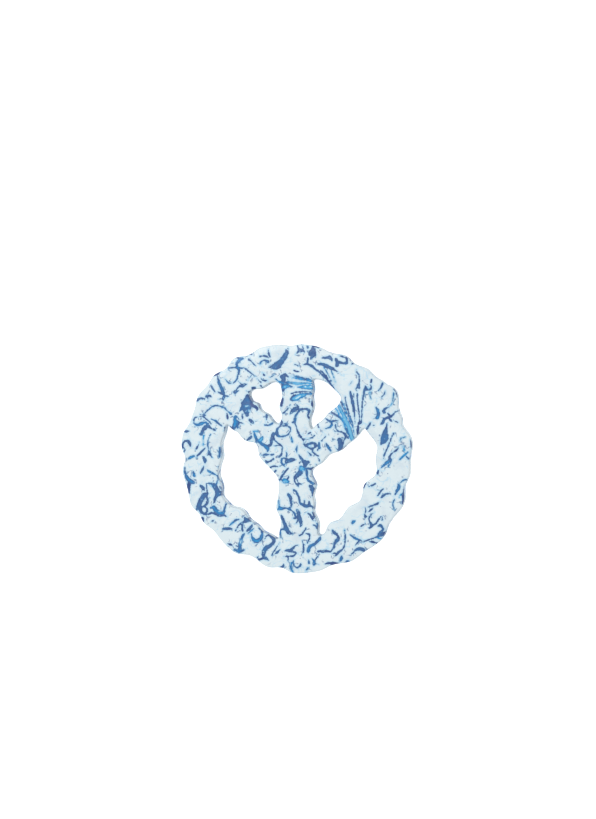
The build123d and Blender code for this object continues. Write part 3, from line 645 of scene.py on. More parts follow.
def spline_loop(points, step):
    """Closed cubic spline through all the points, even in its bending, sampled at step."""
    knots = np.array(points, float)
    following = np.roll(knots, -1, axis=0)
    span = np.linalg.norm(following - knots, axis=1)[:, None]
    span_before = np.roll(span, 1, axis=0)
    count = len(knots)
    here = np.arange(count)
    system = np.zeros((count, count))
    system[here, here] = (2 / span_before + 2 / span)[:, 0]
    system[here, (here + 1) % count] += 1 / span[:, 0]
    system[here, (here - 1) % count] += 1 / span_before[:, 0]
    pull = (knots - np.roll(knots, 1, axis=0)) / span_before ** 2 + (following - knots) / span ** 2
    slope = np.linalg.solve(system, 3 * pull)
    slope_following = np.roll(slope, -1, axis=0)
    along = np.linspace(0, 1, OUTLINE_SAMPLES, endpoint=False)[:, None, None]
    curve = ((2 * along ** 3 - 3 * along ** 2 + 1) * knots
             + (along ** 3 - 2 * along ** 2 + along) * span * slope
             + (3 * along ** 2 - 2 * along ** 3) * following
             + (along ** 3 - along ** 2) * span * slope_following)
    return spaced_out(curve.transpose(1, 0, 2).reshape(-1, 2), step, closed=True)


def right_hand_side(loop):
    """Unit vector at each point of a closed loop, square to it and to the right of its run."""
    run = np.roll(loop, -1, axis=0) - np.roll(loop, 1, axis=0)
    run /= np.linalg.norm(run, axis=1)[:, None]
    return np.column_stack((run[:, 1], -run[:, 0]))


def inside_loops(points, loops):
    """True for each point that lies in the material between closed loops."""
    order = np.argsort(points[:, 1])
    across = points[order, 0]
    up = points[order, 1]
    crossings = np.zeros(len(points), bool)
    for loop in loops:
        ends = np.roll(loop, -1, axis=0)
        low = np.searchsorted(up, np.minimum(loop[:, 1], ends[:, 1]))
        high = np.searchsorted(up, np.maximum(loop[:, 1], ends[:, 1]))
        for start, end, first, last in zip(loop, ends, low, high):
            if first < last:
                share = (up[first:last] - start[1]) / (end[1] - start[1])
                crossings[first:last] ^= across[first:last] < start[0] + share * (end[0] - start[0])
    inside = np.zeros(len(points), bool)
    inside[order] = crossings
    return inside


def nearest(points, targets):
    """Index of the nearest target to each point, and how far it is."""
    tree = kdtree.KDTree(len(targets))
    for index, (x, y) in enumerate(targets.tolist()):
        tree.insert((x, y, 0), index)
    tree.balance()
    found = [tree.find((x, y, 0))[1:] for x, y in points.tolist()]
    return np.array([index for index, _ in found]), np.array([away for _, away in found])


def joint_line(start, end, radius):
    """Close-set points along a joint: a straight line, or an arc about the side of the origin."""
    start = np.array(start, float)
    end = np.array(end, float)
    share = np.linspace(0, 1, JOINT_SAMPLES)
    if not radius:
        return start + (end - start) * share[:, None]
    middle = (start + end) / 2
    half = np.linalg.norm(end - start) / 2
    centre = middle - middle / np.linalg.norm(middle) * np.sqrt(radius ** 2 - half ** 2)
    first = np.arctan2(*(start - centre)[::-1])
    sweep = (np.arctan2(*(end - centre)[::-1]) - first + np.pi) % (2 * np.pi) - np.pi
    turn = first + sweep * share
    return centre + radius * np.column_stack((np.cos(turn), np.sin(turn)))


# ---------------------------------------------------------------------------------------
# Pressed shell: two flat sheets joined by the walls, before it gets its thickness
# ---------------------------------------------------------------------------------------

class Shell:
    """Points and triangles of the whole ring, with the joints that cut it into members."""

    def __init__(self, top_radius, foot_radius):
        self.plan = []
        self.level = []
        self.faces = []
        self.count = 0
        outlines = [spline_loop(points, WALL_STEP) for points in OUTLINES]
        self.centre = (outlines[0].min(axis=0) + outlines[0].max(axis=0)) / 2
        self.loops = [(outline - self.centre) * FIT for outline in outlines]
        self.sides = [right_hand_side(loop) for loop in self.loops]
        self.edge = np.vstack(self.loops)
        self.edge_side = np.vstack(self.sides)
        self.joints = [self.find_joint(line, foot_radius) for line in JOINT_LINES]
        top, top_ids, top_joints = self.add_sheet(1, top_radius, foot_radius, TOP_SPACING)
        foot, foot_ids, foot_joints = self.add_sheet(0, foot_radius, foot_radius, FOOT_SPACING)
        self.faces += [top, foot[:, ::-1]]
        columns = [self.add_wall(loop, side, top_radius, foot_radius, high, low)
                   for loop, side, high, low in zip(self.loops, self.sides, top_ids, foot_ids)]
        self.columns = np.vstack(columns)
        self.top_joints = top_joints
        self.webs = [self.add_web(joint, high, low)
                     for joint, high, low in zip(self.joints, top_joints, foot_joints)]
        self.plan = np.vstack(self.plan)
        self.level = np.concatenate(self.level)
        self.faces = np.vstack(self.faces)
        self.measure_edges()

    def add_points(self, plan, level):
        """Keeps some points and returns their numbers."""
        self.plan.append(plan)
        self.level.append(np.broadcast_to(np.asarray(level, float), len(plan)))
        self.count += len(plan)
        return np.arange(self.count - len(plan), self.count)

    def find_joint(self, line, foot_radius):
        """Edge points that a joint starts and ends at, square to the edge, and its points."""
        course = joint_line(*line) - self.centre
        course = course[inside_loops(course, self.loops)]
        _, away = nearest(course, self.edge)
        inner = spaced_out(course[away > foot_radius + SEAM_STEP / 2], SEAM_STEP, closed=False)
        ends, _ = nearest(inner[[0, -1]], self.edge)
        feet = self.edge[ends] - self.edge_side[ends] * foot_radius
        return ends, np.vstack((feet[:1], inner, feet[1:]))

    def add_sheet(self, level, inset, foot_radius, spacing):
        """One flat face of the ring as triangles that meet the walls and follow the joints."""
        rims = [loop - side * inset for loop, side in zip(self.loops, self.sides)]
        rim = np.vstack(rims)
        fixed = [rim]
        edges = []
        start = 0
        for loop in rims:
            numbers = start + np.arange(len(loop))
            edges.append(np.column_stack((numbers, np.roll(numbers, -1))))
            start += len(loop)
        joint_numbers = []
        for ends, course in self.joints:
            numbers = start + np.arange(len(course))
            fixed.append(course)
            start += len(course)
            if inset < foot_radius:
                numbers = np.concatenate((ends[:1], numbers, ends[1:]))
            else:
                numbers[[0, -1]] = ends
            joint_numbers.append(numbers)
            edges.append(np.column_stack((numbers[:-1], numbers[1:])))
        fixed = np.vstack(fixed)
        fill = self.lattice(spacing)
        fill = fill[inside_loops(fill, rims)]
        _, away = nearest(fill, fixed)
        fill = fill[away > spacing * CLEARANCE]
        points = np.vstack((fixed, fill))
        flat = [Vector(point) for point in points.tolist()]
        made = geometry.delaunay_2d_cdt(flat, np.vstack(edges).tolist(), [], 0, 1e-5, True)
        plan = np.array([tuple(point) for point in made[0]])
        renumbered = np.full(len(points), -1)
        for new, olds in enumerate(made[3]):
            renumbered[olds] = new
        faces = np.array(made[2])
        faces = faces[inside_loops(plan[faces].mean(axis=1), rims)]
        numbers = self.add_points(plan, level)
        renumbered = numbers[renumbered]
        splits = np.cumsum([len(loop) for loop in rims])[:-1]
        return (numbers[faces], np.split(renumbered[:len(rim)], splits),
                [renumbered[joint] for joint in joint_numbers])

    def lattice(self, spacing):
        """Points of a plain triangular grid over the whole ring."""
        low = self.edge.min(axis=0)
        high = self.edge.max(axis=0)
        rows = np.arange(low[1], high[1], spacing * np.sqrt(0.75))
        across = np.arange(low[0], high[0], spacing)
        x, y = np.meshgrid(across, rows)
        x[1::2] += spacing / 2
        return np.column_stack((x.ravel(), y.ravel()))

    def add_wall(self, loop, side, top_radius, foot_radius, high, low):
        """Wall along one loop: round the foot edge, up, and round the top edge."""
        turn = np.linspace(0, np.pi / 2, TOP_ROWS + 1)[:-1]
        foot_turn = np.linspace(np.pi / 2, 0, FOOT_ROWS + 1)[1:]
        insets = np.concatenate((foot_radius * (1 - np.cos(foot_turn)), np.zeros(WALL_ROWS - 1),
                                 top_radius * (1 - np.cos(turn))))
        levels = np.concatenate((np.zeros(FOOT_ROWS), np.linspace(0, 1, WALL_ROWS + 1)[1:-1],
                                 np.ones(TOP_ROWS)))
        rows = [low]
        rows += [self.add_points(loop - side * inset, level) for inset, level in zip(insets, levels)]
        rows.append(high)
        rows = np.column_stack(rows)
        self.faces.append(strip_faces(np.vstack((rows, rows[:1]))))
        return rows

    def add_web(self, joint, high, low):
        """Flat face across a member along a joint, which closes the cut."""
        ends, course = joint
        rows = self.columns.shape[1]
        climb = np.linspace(0, 1, rows)[1:-1]
        if len(high) > len(low):
            high = high[1:-1]
        spine = [self.columns[ends[0]]]
        for plan, foot, top in zip(course, low, high):
            numbers = self.add_points(np.tile(plan, (rows - 2, 1)), climb)
            spine.append(np.concatenate(([foot], numbers, [top])))
        spine.append(self.columns[ends[1]])
        faces = strip_faces(np.array(spine))
        doubled = (faces == np.roll(faces, 1, axis=1)).any(axis=1)
        return faces[~doubled]

    def measure_edges(self):
        """Distance of every point from the edge, and the way out to it."""
        index, away = nearest(self.plan, self.edge)
        offset = self.plan - self.edge[index]
        square = -np.einsum("ij,ij->i", offset, self.edge_side[index])
        self.edge_distance = np.where(away < SQUARE_REACH, np.clip(square, 0, SQUARE_REACH), away)
        self.outward = self.edge_side[index]

    def cut(self):
        """Numbers of the faces of each member, found by filling the shell up to the joints."""
        owner = np.tile(np.arange(len(self.faces)), 3)
        joined = [line_sides(points) for points in self.top_joints]
        joined += [face_sides(web) for web in self.webs]
        keys = side_keys(face_sides(self.faces), self.count)
        open_sides = ~np.isin(keys, side_keys(np.vstack(joined), self.count))
        order = np.argsort(keys[open_sides], kind="stable")
        keys = keys[open_sides][order]
        owner = owner[open_sides][order]
        same = keys[1:] == keys[:-1]
        return grown_together(owner[:-1][same], owner[1:][same], len(self.faces))


def strip_faces(grid):
    """Two triangles for each cell of a grid of point numbers, facing the right of its run."""
    a = grid[:-1, :-1].ravel()
    b = grid[1:, :-1].ravel()
    c = grid[1:, 1:].ravel()
    d = grid[:-1, 1:].ravel()
    return np.concatenate((np.column_stack((a, b, c)), np.column_stack((a, c, d))))


def line_sides(points):
    """Pairs of neighbouring numbers along a line."""
    return np.column_stack((points[:-1], points[1:]))


def face_sides(faces):
    """Pairs of numbers at the ends of the three sides of every face."""
    return np.concatenate((faces[:, [0, 1]], faces[:, [1, 2]], faces[:, [2, 0]]))


def side_keys(sides, count):
    """One number for each side, the same in both directions."""
    ordered = np.sort(sides, axis=1).astype(np.int64)
    return ordered[:, 0] * count + ordered[:, 1]


def grown_together(first, second, count):
    """Lowest number of the group that each item belongs to, given the pairs that touch."""
    root = np.arange(count)
    while True:
        one = root[first]
        other = root[second]
        if (one == other).all():
            return root
        np.minimum.at(root, np.maximum(one, other), np.minimum(one, other))
        while (root[root] != root).any():
            root = root[root]


# ---------------------------------------------------------------------------------------
# Marbling field
# ---------------------------------------------------------------------------------------

def vein_course(points):
    """Close-set (x, y, width) points on a smooth curve through the listed ones."""
    knots = np.array(points, float)
    ends = np.vstack((2 * knots[0] - knots[1], knots, 2 * knots[-1] - knots[-2]))
    before, here, after, beyond = ends[:-3], ends[1:-2], ends[2:-1], ends[3:]
    along = np.linspace(0, 1, VEIN_SAMPLES, endpoint=False)[:, None, None]
    curve = 0.5 * (2 * here + (after - before) * along
                   + (2 * before - 5 * here + 4 * after - beyond) * along ** 2
                   + (3 * here - before - 3 * after + beyond) * along ** 3)
    curve = np.vstack((curve.transpose(1, 0, 2).reshape(-1, 3), knots[-1:]))
    return spaced_out(curve, VEIN_STEP, closed=False)


def distance_to_course(points, course):
    """Distance of each point from the skin of a tapered vein, below zero inside it."""
    start = course[:-1]
    run = course[1:] - start
    offset = points[:, None, :] - start[None, :, :2]
    length = np.maximum((run[:, :2] ** 2).sum(axis=1), 1e-9)
    share = np.clip((offset * run[None, :, :2]).sum(axis=2) / length, 0, 1)
    away = np.linalg.norm(offset - share[:, :, None] * run[None, :, :2], axis=2)
    return (away - (start[:, 2] + share * run[:, 2]) / 2).min(axis=1)


def run_together(one, other):
    """The smaller of two distances, with a fillet where they are alike."""
    share = np.clip(0.5 + 0.5 * (other - one) / JUNCTION_FILLET, 0, 1)
    return other + (one - other) * share - JUNCTION_FILLET * share * (1 - share)


def vein_field(points, veins, centre):
    """Distance in mm of each plan point from the veins, and the tint of the veins near it."""
    reach = np.full(len(points), FIELD_REACH)
    weight = np.full(len(points), 1e-9)
    tints = weight * SLATE
    for tint, *laid in veins:
        course = vein_course(laid)
        course[:, :2] += np.array(MARBLING_NUDGE) - centre
        margin = FIELD_REACH + course[:, 2].max() / 2
        low = course[:, :2].min(axis=0) - margin
        high = course[:, :2].max(axis=0) + margin
        near = np.flatnonzero(((points > low) & (points < high)).all(axis=1))
        away = distance_to_course(points[near], course)
        reach[near] = run_together(reach[near], away)
        share = np.exp(-away / TINT_BLEND)
        weight[near] += share
        tints[near] += share * tint
    return reach, tints / weight


def strand_drift(plan, depth, outward, edge_distance):
    """Plan point on the upper face whose marbling shows at a point below it.

    The strands fold over the edges and wander as they go down, so the walls carry on the
    pattern of the face and the underside has one of its own.
    """
    fold = np.clip(1 - edge_distance / FOLD_REACH, 0, 1) ** 1.5 * FOLD_SHIFT
    x, y = plan.T
    broad, narrow = WANDER
    wander = np.column_stack((broad * np.sin(y / 17 + 0.8) + narrow * np.sin(x / 9 + y / 13),
                              broad * np.cos(x / 19 - 0.4) + narrow * np.sin(y / 8 - x / 15)))
    return plan - depth[:, None] * outward * fold[:, None] + (depth ** 2)[:, None] * wander


# ---------------------------------------------------------------------------------------
# Node helpers
# ---------------------------------------------------------------------------------------

def give(tree, socket, value):
    """Links a socket into an input, or sets the input's own value."""
    if isinstance(value, bpy.types.NodeSocket):
        tree.links.new(value, socket)
    elif value is not None:
        socket.default_value = value


def put(tree, kind, *inputs, named=None, **settings):
    """Adds a node with its settings and inputs. None leaves an input as it is."""
    made = tree.nodes.new(kind)
    for name, value in settings.items():
        setattr(made, name, value)
    for socket, value in zip(made.inputs, inputs):
        give(tree, socket, value)
    for name, value in (named or {}).items():
        give(tree, made.inputs[name], value)
    return made


def calc(tree, operation, *values):
    """Result of a Math node."""
    return put(tree, "ShaderNodeMath", *values, operation=operation).outputs[0]


def product(tree, *values):
    """Product of two or more values, multiplied in their order."""
    return reduce(lambda one, other: calc(tree, "MULTIPLY", one, other), values)


def vector_calc(tree, operation, *values):
    """Result of a Vector Math node."""
    return put(tree, "ShaderNodeVectorMath", *values, operation=operation).outputs[0]


def stretched(tree, vector, scale):
    """Vector made longer or shorter."""
    return put(tree, "ShaderNodeVectorMath", operation="SCALE",
               named={"Vector": vector, "Scale": scale}).outputs[0]


def eased(tree, value, start, end):
    """0 to 1 as the value goes from start to end, eased at both."""
    return put(tree, "ShaderNodeMapRange", value, start, end,
               interpolation_type="SMOOTHSTEP").outputs[0]


def mixed(tree, share, one, other, blend_type="MIX"):
    """Colour between two colours."""
    made = put(tree, "ShaderNodeMix", data_type="RGBA", blend_type=blend_type)
    give(tree, made.inputs[0], share)
    give(tree, made.inputs[6], one)
    give(tree, made.inputs[7], other)
    return made.outputs[2]


def noise(tree, position, size, detail=2.0, distortion=0.0, seed=0.0):
    """Noise from 0 to 1 whose lumps are about size across, in metres."""
    scale = calc(tree, "DIVIDE", 1.0, size) if isinstance(size, bpy.types.NodeSocket) else 1 / size
    return put(tree, "ShaderNodeTexNoise", noise_dimensions="4D",
               named={"Vector": position, "W": seed, "Scale": scale, "Detail": detail,
                      "Distortion": distortion}).outputs[0]


def new_group(name, kind, inputs, outputs):
    """Node group with named inputs, each with its kind and default, and named outputs."""
    tree = bpy.data.node_groups.new(name, kind)
    for label, socket_type, default in inputs:
        socket = tree.interface.new_socket(label, in_out="INPUT", socket_type=socket_type)
        if default is not None:
            socket.default_value = default
    for label, socket_type in outputs:
        tree.interface.new_socket(label, in_out="OUTPUT", socket_type=socket_type)
    return tree, tree.nodes.new("NodeGroupInput").outputs, tree.nodes.new("NodeGroupOutput").inputs


def place_group(tree, group, named):
    """Outputs of a group placed in a material."""
    made = put(tree, "ShaderNodeGroup", node_tree=group)
    for name, value in named.items():
        give(tree, made.inputs[name], value)
    return made.outputs


# ---------------------------------------------------------------------------------------
# Pressed surface
# ---------------------------------------------------------------------------------------

def edge_drop(tree, distance, radius):
    """Fall of a face at a distance from its rounded edge."""
    short = calc(tree, "SUBTRACT", radius, calc(tree, "MINIMUM", distance, radius))
    rise = calc(tree, "SUBTRACT", product(tree, radius, radius), product(tree, short, short))
    return calc(tree, "SUBTRACT", radius, calc(tree, "SQRT", calc(tree, "MAXIMUM", rise, 0.0)))


def pressed_surface_tree():
    """Geometry Nodes tree that gives the flat shell its thickness, edges and hollows."""
    tree, given, result = new_group(
        "pressed strand surface", "GeometryNodeTree",
        (("Geometry", "NodeSocketGeometry", None),
         ("Thickness", "NodeSocketFloat", THICKNESS),
         ("Top Edge Radius", "NodeSocketFloat", TOP_EDGE_RADIUS),
         ("Foot Edge Radius", "NodeSocketFloat", FOOT_EDGE_RADIUS),
         ("Waviness", "NodeSocketFloat", WAVINESS),
         ("Wave Size", "NodeSocketFloat", WAVE_SIZE),
         ("Edge Droop", "NodeSocketFloat", EDGE_DROOP),
         ("Wall Slack", "NodeSocketFloat", WALL_SLACK),
         ("Seed", "NodeSocketInt", SEED),
         ("Material", "NodeSocketMaterial", None)),
        (("Geometry", "NodeSocketGeometry"),))

    def attribute(name, data_type):
        return put(tree, "GeometryNodeInputNamedAttribute", name, data_type=data_type).outputs[0]

    distance = attribute("edge_distance", "FLOAT")
    level = attribute("level", "FLOAT")
    outward = attribute("outward", "FLOAT_VECTOR")
    place = put(tree, "GeometryNodeInputPosition").outputs[0]
    seed = given["Seed"]
    waves = noise(tree, place, given["Wave Size"], WAVE_DETAIL, seed=seed)
    hollow = product(tree, waves, given["Waviness"])
    underside = product(tree, hollow, UNDERSIDE_SHARE)
    droop = product(tree, eased(tree, distance, DROOP_REACH, 0.0), given["Edge Droop"])
    upper = calc(tree, "SUBTRACT", given["Thickness"],
                 edge_drop(tree, distance, given["Top Edge Radius"]))
    upper = calc(tree, "SUBTRACT", calc(tree, "SUBTRACT", upper, hollow), droop)
    lower = calc(tree, "ADD", edge_drop(tree, distance, given["Foot Edge Radius"]), underside)
    climb = product(tree, level, calc(tree, "SUBTRACT", upper, lower))
    height = calc(tree, "ADD", lower, climb)
    # 0 at the foot and the top of a wall and 1 halfway up it
    waist = product(tree, product(tree, level, 4.0), calc(tree, "SUBTRACT", 1.0, level))
    on_wall = product(tree, waist, eased(tree, distance, MM, 0.0))
    lumps = noise(tree, place, WALL_LUMP, seed=calc(tree, "ADD", seed, 5.0))
    slack = product(tree, on_wall, lumps, given["Wall Slack"], -1.0)
    drawn_in = stretched(tree, outward, slack)
    lifted = put(tree, "ShaderNodeCombineXYZ", 0.0, 0.0, height).outputs[0]
    offset = vector_calc(tree, "ADD", lifted, drawn_in)
    moved = put(tree, "GeometryNodeSetPosition",
                named={"Geometry": given["Geometry"], "Offset": offset}).outputs[0]
    real = put(tree, "GeometryNodeRealizeInstances", moved).outputs[0]
    finished = put(tree, "GeometryNodeSetMaterial",
                   named={"Geometry": real, "Material": given["Material"]}).outputs[0]
    tree.links.new(finished, result["Geometry"])
    return tree


def new_mesh(name, points, faces):
    """Mesh of triangles."""
    mesh = bpy.data.meshes.new(name)
    mesh.vertices.add(len(points))
    mesh.vertices.foreach_set("co", np.asarray(points, np.float32).ravel())
    mesh.loops.add(faces.size)
    mesh.loops.foreach_set("vertex_index", faces.ravel().astype(np.int32))
    mesh.polygons.add(len(faces))
    mesh.polygons.foreach_set("loop_start", np.arange(0, faces.size, 3, dtype=np.int32))
    mesh.update(calc_edges=True)
    return mesh


def keep_value(mesh, name, values):
    """Stores a number or a vector for each point of a mesh."""
    vector = values.ndim == 2
    layer = mesh.attributes.new(name, "FLOAT_VECTOR" if vector else "FLOAT", "POINT")
    layer.data.foreach_set("vector" if vector else "value", values.astype(np.float32).ravel())


def add_object(name, data):
    """Object in the scene, at the origin."""
    made = bpy.data.objects.new(name, data)
    bpy.context.scene.collection.objects.link(made)
    return made


def face_squares(points, faces):
    """Vector square to each face, as long as twice its area."""
    corner, one, other = points[faces.T]
    return np.cross(one - corner, other - corner)


def point_normals(points, faces):
    """Smooth normal at each point, weighted by the faces round it."""
    square = face_squares(points, faces)
    normals = np.zeros_like(points)
    for corner in range(3):
        np.add.at(normals, faces[:, corner], square)
    return normals / np.maximum(np.linalg.norm(normals, axis=1), 1e-20)[:, None]


def face_normals(points, faces):
    """Flat normal of each face."""
    square = face_squares(points, faces)
    return square / np.maximum(np.linalg.norm(square, axis=1), 1e-20)[:, None]


@lru_cache(maxsize=1)
def pressed_ring(top_radius, foot_radius, waviness, wave_size, edge_droop, wall_slack, seed):
    """The whole ring: its shell, its pressed points, their normals and the values they carry."""
    shell = Shell(top_radius / MM, foot_radius / MM)
    flat = np.column_stack((shell.plan, np.zeros(shell.count))) * MM
    mesh = new_mesh("pressed ring", flat, shell.faces)
    keep_value(mesh, "edge_distance", shell.edge_distance * MM)
    keep_value(mesh, "level", shell.level)
    keep_value(mesh, "outward", np.column_stack((shell.outward, np.zeros(shell.count))))
    body = add_object("pressed_ring", mesh)
    tree = pressed_surface_tree()
    press = body.modifiers.new("press", "NODES")
    press.node_group = tree
    values = {"Thickness": THICKNESS, "Top Edge Radius": top_radius, "Foot Edge Radius": foot_radius,
              "Waviness": waviness, "Wave Size": wave_size, "Edge Droop": edge_droop,
              "Wall Slack": wall_slack, "Seed": seed, "Material": marbled_plastic()}
    for socket in tree.interface.items_tree:
        if socket.in_out == "INPUT" and socket.name in values:
            press[socket.identifier] = values[socket.name]
    depsgraph = bpy.context.evaluated_depsgraph_get()
    pressed = bpy.data.meshes.new_from_object(body.evaluated_get(depsgraph), depsgraph=depsgraph)
    points = np.empty(len(pressed.vertices) * 3, np.float32)
    pressed.vertices.foreach_get("co", points)
    points = points.reshape(-1, 3).astype(float)
    body.modifiers.remove(press)
    bpy.data.objects.remove(body)
    depth = 1 - points[:, 2] / THICKNESS
    source = strand_drift(shell.plan, depth, shell.outward, shell.edge_distance)
    reach, tint = vein_field(source, VEINS, shell.centre)
    # Painted highlight: distance to the specular glints painted inside the pools
    painted_glint, _ = vein_field(source, [(0.0, *course) for course in PAINTED_GLINTS], shell.centre)
    # Painted shade: mask of the dark line along the top and the foot of each wall
    on_wall = np.clip(1 - shell.edge_distance / EDGE_SHADE_WIDTH, 0, 1)
    lip = np.clip((np.abs(shell.level - 0.5) - EDGE_SHADE_START) / EDGE_SHADE_FADE, 0, 1)
    carried = {"vein_distance": reach, "vein_tint": tint, "painted_glint_distance": painted_glint,
               "painted_edge_shade": on_wall * lip}
    return shell, points, point_normals(points, shell.faces), carried


def member_faces(shell):
    """Shell faces and cut faces of each member, by its name."""
    root = shell.cut()
    names = {}
    middle = shell.plan[shell.faces].mean(axis=1)
    for label in np.unique(root):
        mine = root == label
        width = np.ptp(middle[mine][:, 0])
        across = middle[mine][:, 0].mean()
        if width > RIM_SPAN:
            names[label] = "rim"
        elif across < -ARM_SIDE:
            names[label] = "left_arm"
        elif across > ARM_SIDE:
            names[label] = "right_arm"
        else:
            names[label] = "post"
    webs = {name: [] for name in names.values()}
    for line, web in zip(shell.top_joints, shell.webs):
        start, end = line[len(line) // 2:len(line) // 2 + 2]
        for corner in range(3):
            run_start = shell.faces[:, corner]
            run_end = shell.faces[:, (corner + 1) % 3]
            for face in np.flatnonzero((run_start == start) & (run_end == end)):
                webs[names[root[face]]].append(web)
            for face in np.flatnonzero((run_start == end) & (run_end == start)):
                webs[names[root[face]]].append(web[:, ::-1])
    if len(webs) != 4:
        raise RuntimeError(f"the joints cut the ring into {sorted(names.values())}")
    return {name: (shell.faces[root == label], np.vstack(webs[name])) for label, name in names.items()}


def add_member(context, node):
    """Cuts one member out of the pressed ring and puts it in place of its CAD node."""
    shape = context.scene.spoked_ring_shape
    shell, points, normals, carried = pressed_ring(
        shape.top_edge_radius, shape.foot_edge_radius, shape.waviness, shape.wave_size,
        shape.edge_droop, shape.wall_slack, shape.seed)
    skin, web = member_faces(shell)[node]
    faces = np.vstack((skin, web))
    kept, corners = np.unique(faces, return_inverse=True)
    mesh = new_mesh(node, points[kept], corners.reshape(-1, 3))
    corner_normals = np.concatenate((normals[skin].reshape(-1, 3),
                                     np.repeat(face_normals(points, web), 3, axis=0)))
    mesh.polygons.foreach_set("use_smooth", np.ones(len(faces), bool))
    mesh.normals_split_custom_set(corner_normals.tolist())
    for name, values in carried.items():
        keep_value(mesh, name, values[kept])
    mesh.materials.append(marbled_plastic())
    member = add_object("marbled_" + node, mesh)
    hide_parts(node)
    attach(member, "root")


# ---------------------------------------------------------------------------------------
# Marbled plastic
# ---------------------------------------------------------------------------------------

# Lumps of noise in the plastic: each has its size across in metres and how far it shifts an
# edge in mm, or how much of a tint or colour it carries.
COARSE_RAG = (3.4 * MM, 3.0)
FINE_RAG = (1.1 * MM, 1.7)
HEART_DEPTH = 2.2               # mm inside the skin of a vein at which its depth is full
TINT_DRIFT = (4.5 * MM, 0.85)
HEART_LIFT = 0.6                # by how much the heart of a vein is brighter than its sides
FLECK = (1.7 * MM, 0.75)
DARK_SKIN = (6 * MM, 0.65)
CLOUD = (13 * MM, 0.55)
THREAD = (8 * MM, 0.6)
THREAD_WIDTH = 0.030            # in the noise that the threads are drawn from
THREAD_PATCH = 14 * MM          # size of the patches that have threads
BRANCH = (7 * MM, 0.85)
BRANCH_WIDTH = 0.032            # in the noise that the branches are drawn from
BRANCH_SOFTNESS = 0.008
BRANCH_LENGTH = 5 * MM          # between the gaps in a branch
SPECK_SPACING = 5.5 * MM
SPECK_RAG = (1.6 * MM, 1.3 * MM)
SPECK_STRENGTH = 0.85
GLOSS_PATCH = 8 * MM
RIPPLE = 3.5 * MM
PIT_SPACING = 3.4 * MM
PIT_DEPTH = 0.35                # beside the height of a ripple
BUMP_DEPTH = 0.5 * MM


def vein_shape_group():
    """Turns a distance in mm into a vein with a ragged edge, the halo round it and its depth."""
    tree, given, result = new_group(
        "vein shape", "ShaderNodeTree",
        (("Distance", "NodeSocketFloat", 5.0), ("Position", "NodeSocketVector", None),
         ("Raggedness", "NodeSocketFloat", 0.7), ("Softness", "NodeSocketFloat", 0.16),
         ("Halo Width", "NodeSocketFloat", 1.7)),
        (("Vein", "NodeSocketFloat"), ("Halo", "NodeSocketFloat"), ("Depth", "NodeSocketFloat")))
    place = given["Position"]
    shifts = []
    for seed, (size, reach) in enumerate((COARSE_RAG, FINE_RAG)):
        rag = calc(tree, "SUBTRACT", noise(tree, place, size, seed=float(seed)), 0.5)
        shifts.append(product(tree, rag, reach))
    ragged = product(tree, calc(tree, "ADD", *shifts), given["Raggedness"])
    distance = calc(tree, "ADD", given["Distance"], ragged)
    soft = given["Softness"]
    inner = product(tree, soft, -1.0)
    tree.links.new(eased(tree, distance, soft, inner), result["Vein"])
    tree.links.new(eased(tree, distance, given["Halo Width"], 0.0), result["Halo"])
    tree.links.new(eased(tree, distance, 0.0, -HEART_DEPTH), result["Depth"])
    return tree


def vein_colour_group():
    """Colour of a vein from its tint, with darker skins, paler depths and streaks."""
    colour = "NodeSocketColor"
    tree, given, result = new_group(
        "vein colour", "ShaderNodeTree",
        (("Tint", "NodeSocketFloat", 0.3), ("Depth", "NodeSocketFloat", 0.0),
         ("Position", "NodeSocketVector", None), ("Navy", colour, None), ("Slate", colour, None),
         ("Blue", colour, None), ("Azure", colour, None), ("Sky", colour, None),
         ("Fleck", colour, None)),
        (("Color", colour),))
    place = given["Position"]
    size, swing = TINT_DRIFT
    drift = calc(tree, "SUBTRACT", noise(tree, place, size, 3.0, 0.6, seed=3.0), 0.5)
    tint = calc(tree, "ADD", given["Tint"], product(tree, drift, swing))
    heart = product(tree, calc(tree, "SUBTRACT", given["Depth"], 0.4), HEART_LIFT)
    tint = calc(tree, "ADD", tint, product(tree, heart, given["Tint"]))
    stage = product(tree, tint, 4.0)
    shade = given["Navy"]
    for step, name in enumerate(("Slate", "Blue", "Azure", "Sky")):
        share = calc(tree, "SUBTRACT", stage, float(step))
        share = put(tree, "ShaderNodeClamp", share).outputs[0]
        shade = mixed(tree, share, shade, given[name])
    size, strength = FLECK
    flecks = eased(tree, noise(tree, place, size, distortion=0.4, seed=5.0), 0.62, 0.72)
    shade = mixed(tree, product(tree, flecks, strength), shade, given["Fleck"])
    size, strength = DARK_SKIN
    skin = eased(tree, given["Depth"], 0.45, 0.0)
    sides = eased(tree, noise(tree, place, size, 1.0, seed=7.0), 0.42, 0.58)
    shade = mixed(tree, product(tree, skin, sides, strength), shade, given["Navy"])
    tree.links.new(shade, result["Color"])
    return tree


def fold_line(tree, field):
    """0 along the middle of a noise, from where lines are drawn, and more away from it."""
    return calc(tree, "ABSOLUTE", calc(tree, "SUBTRACT", field, 0.5))


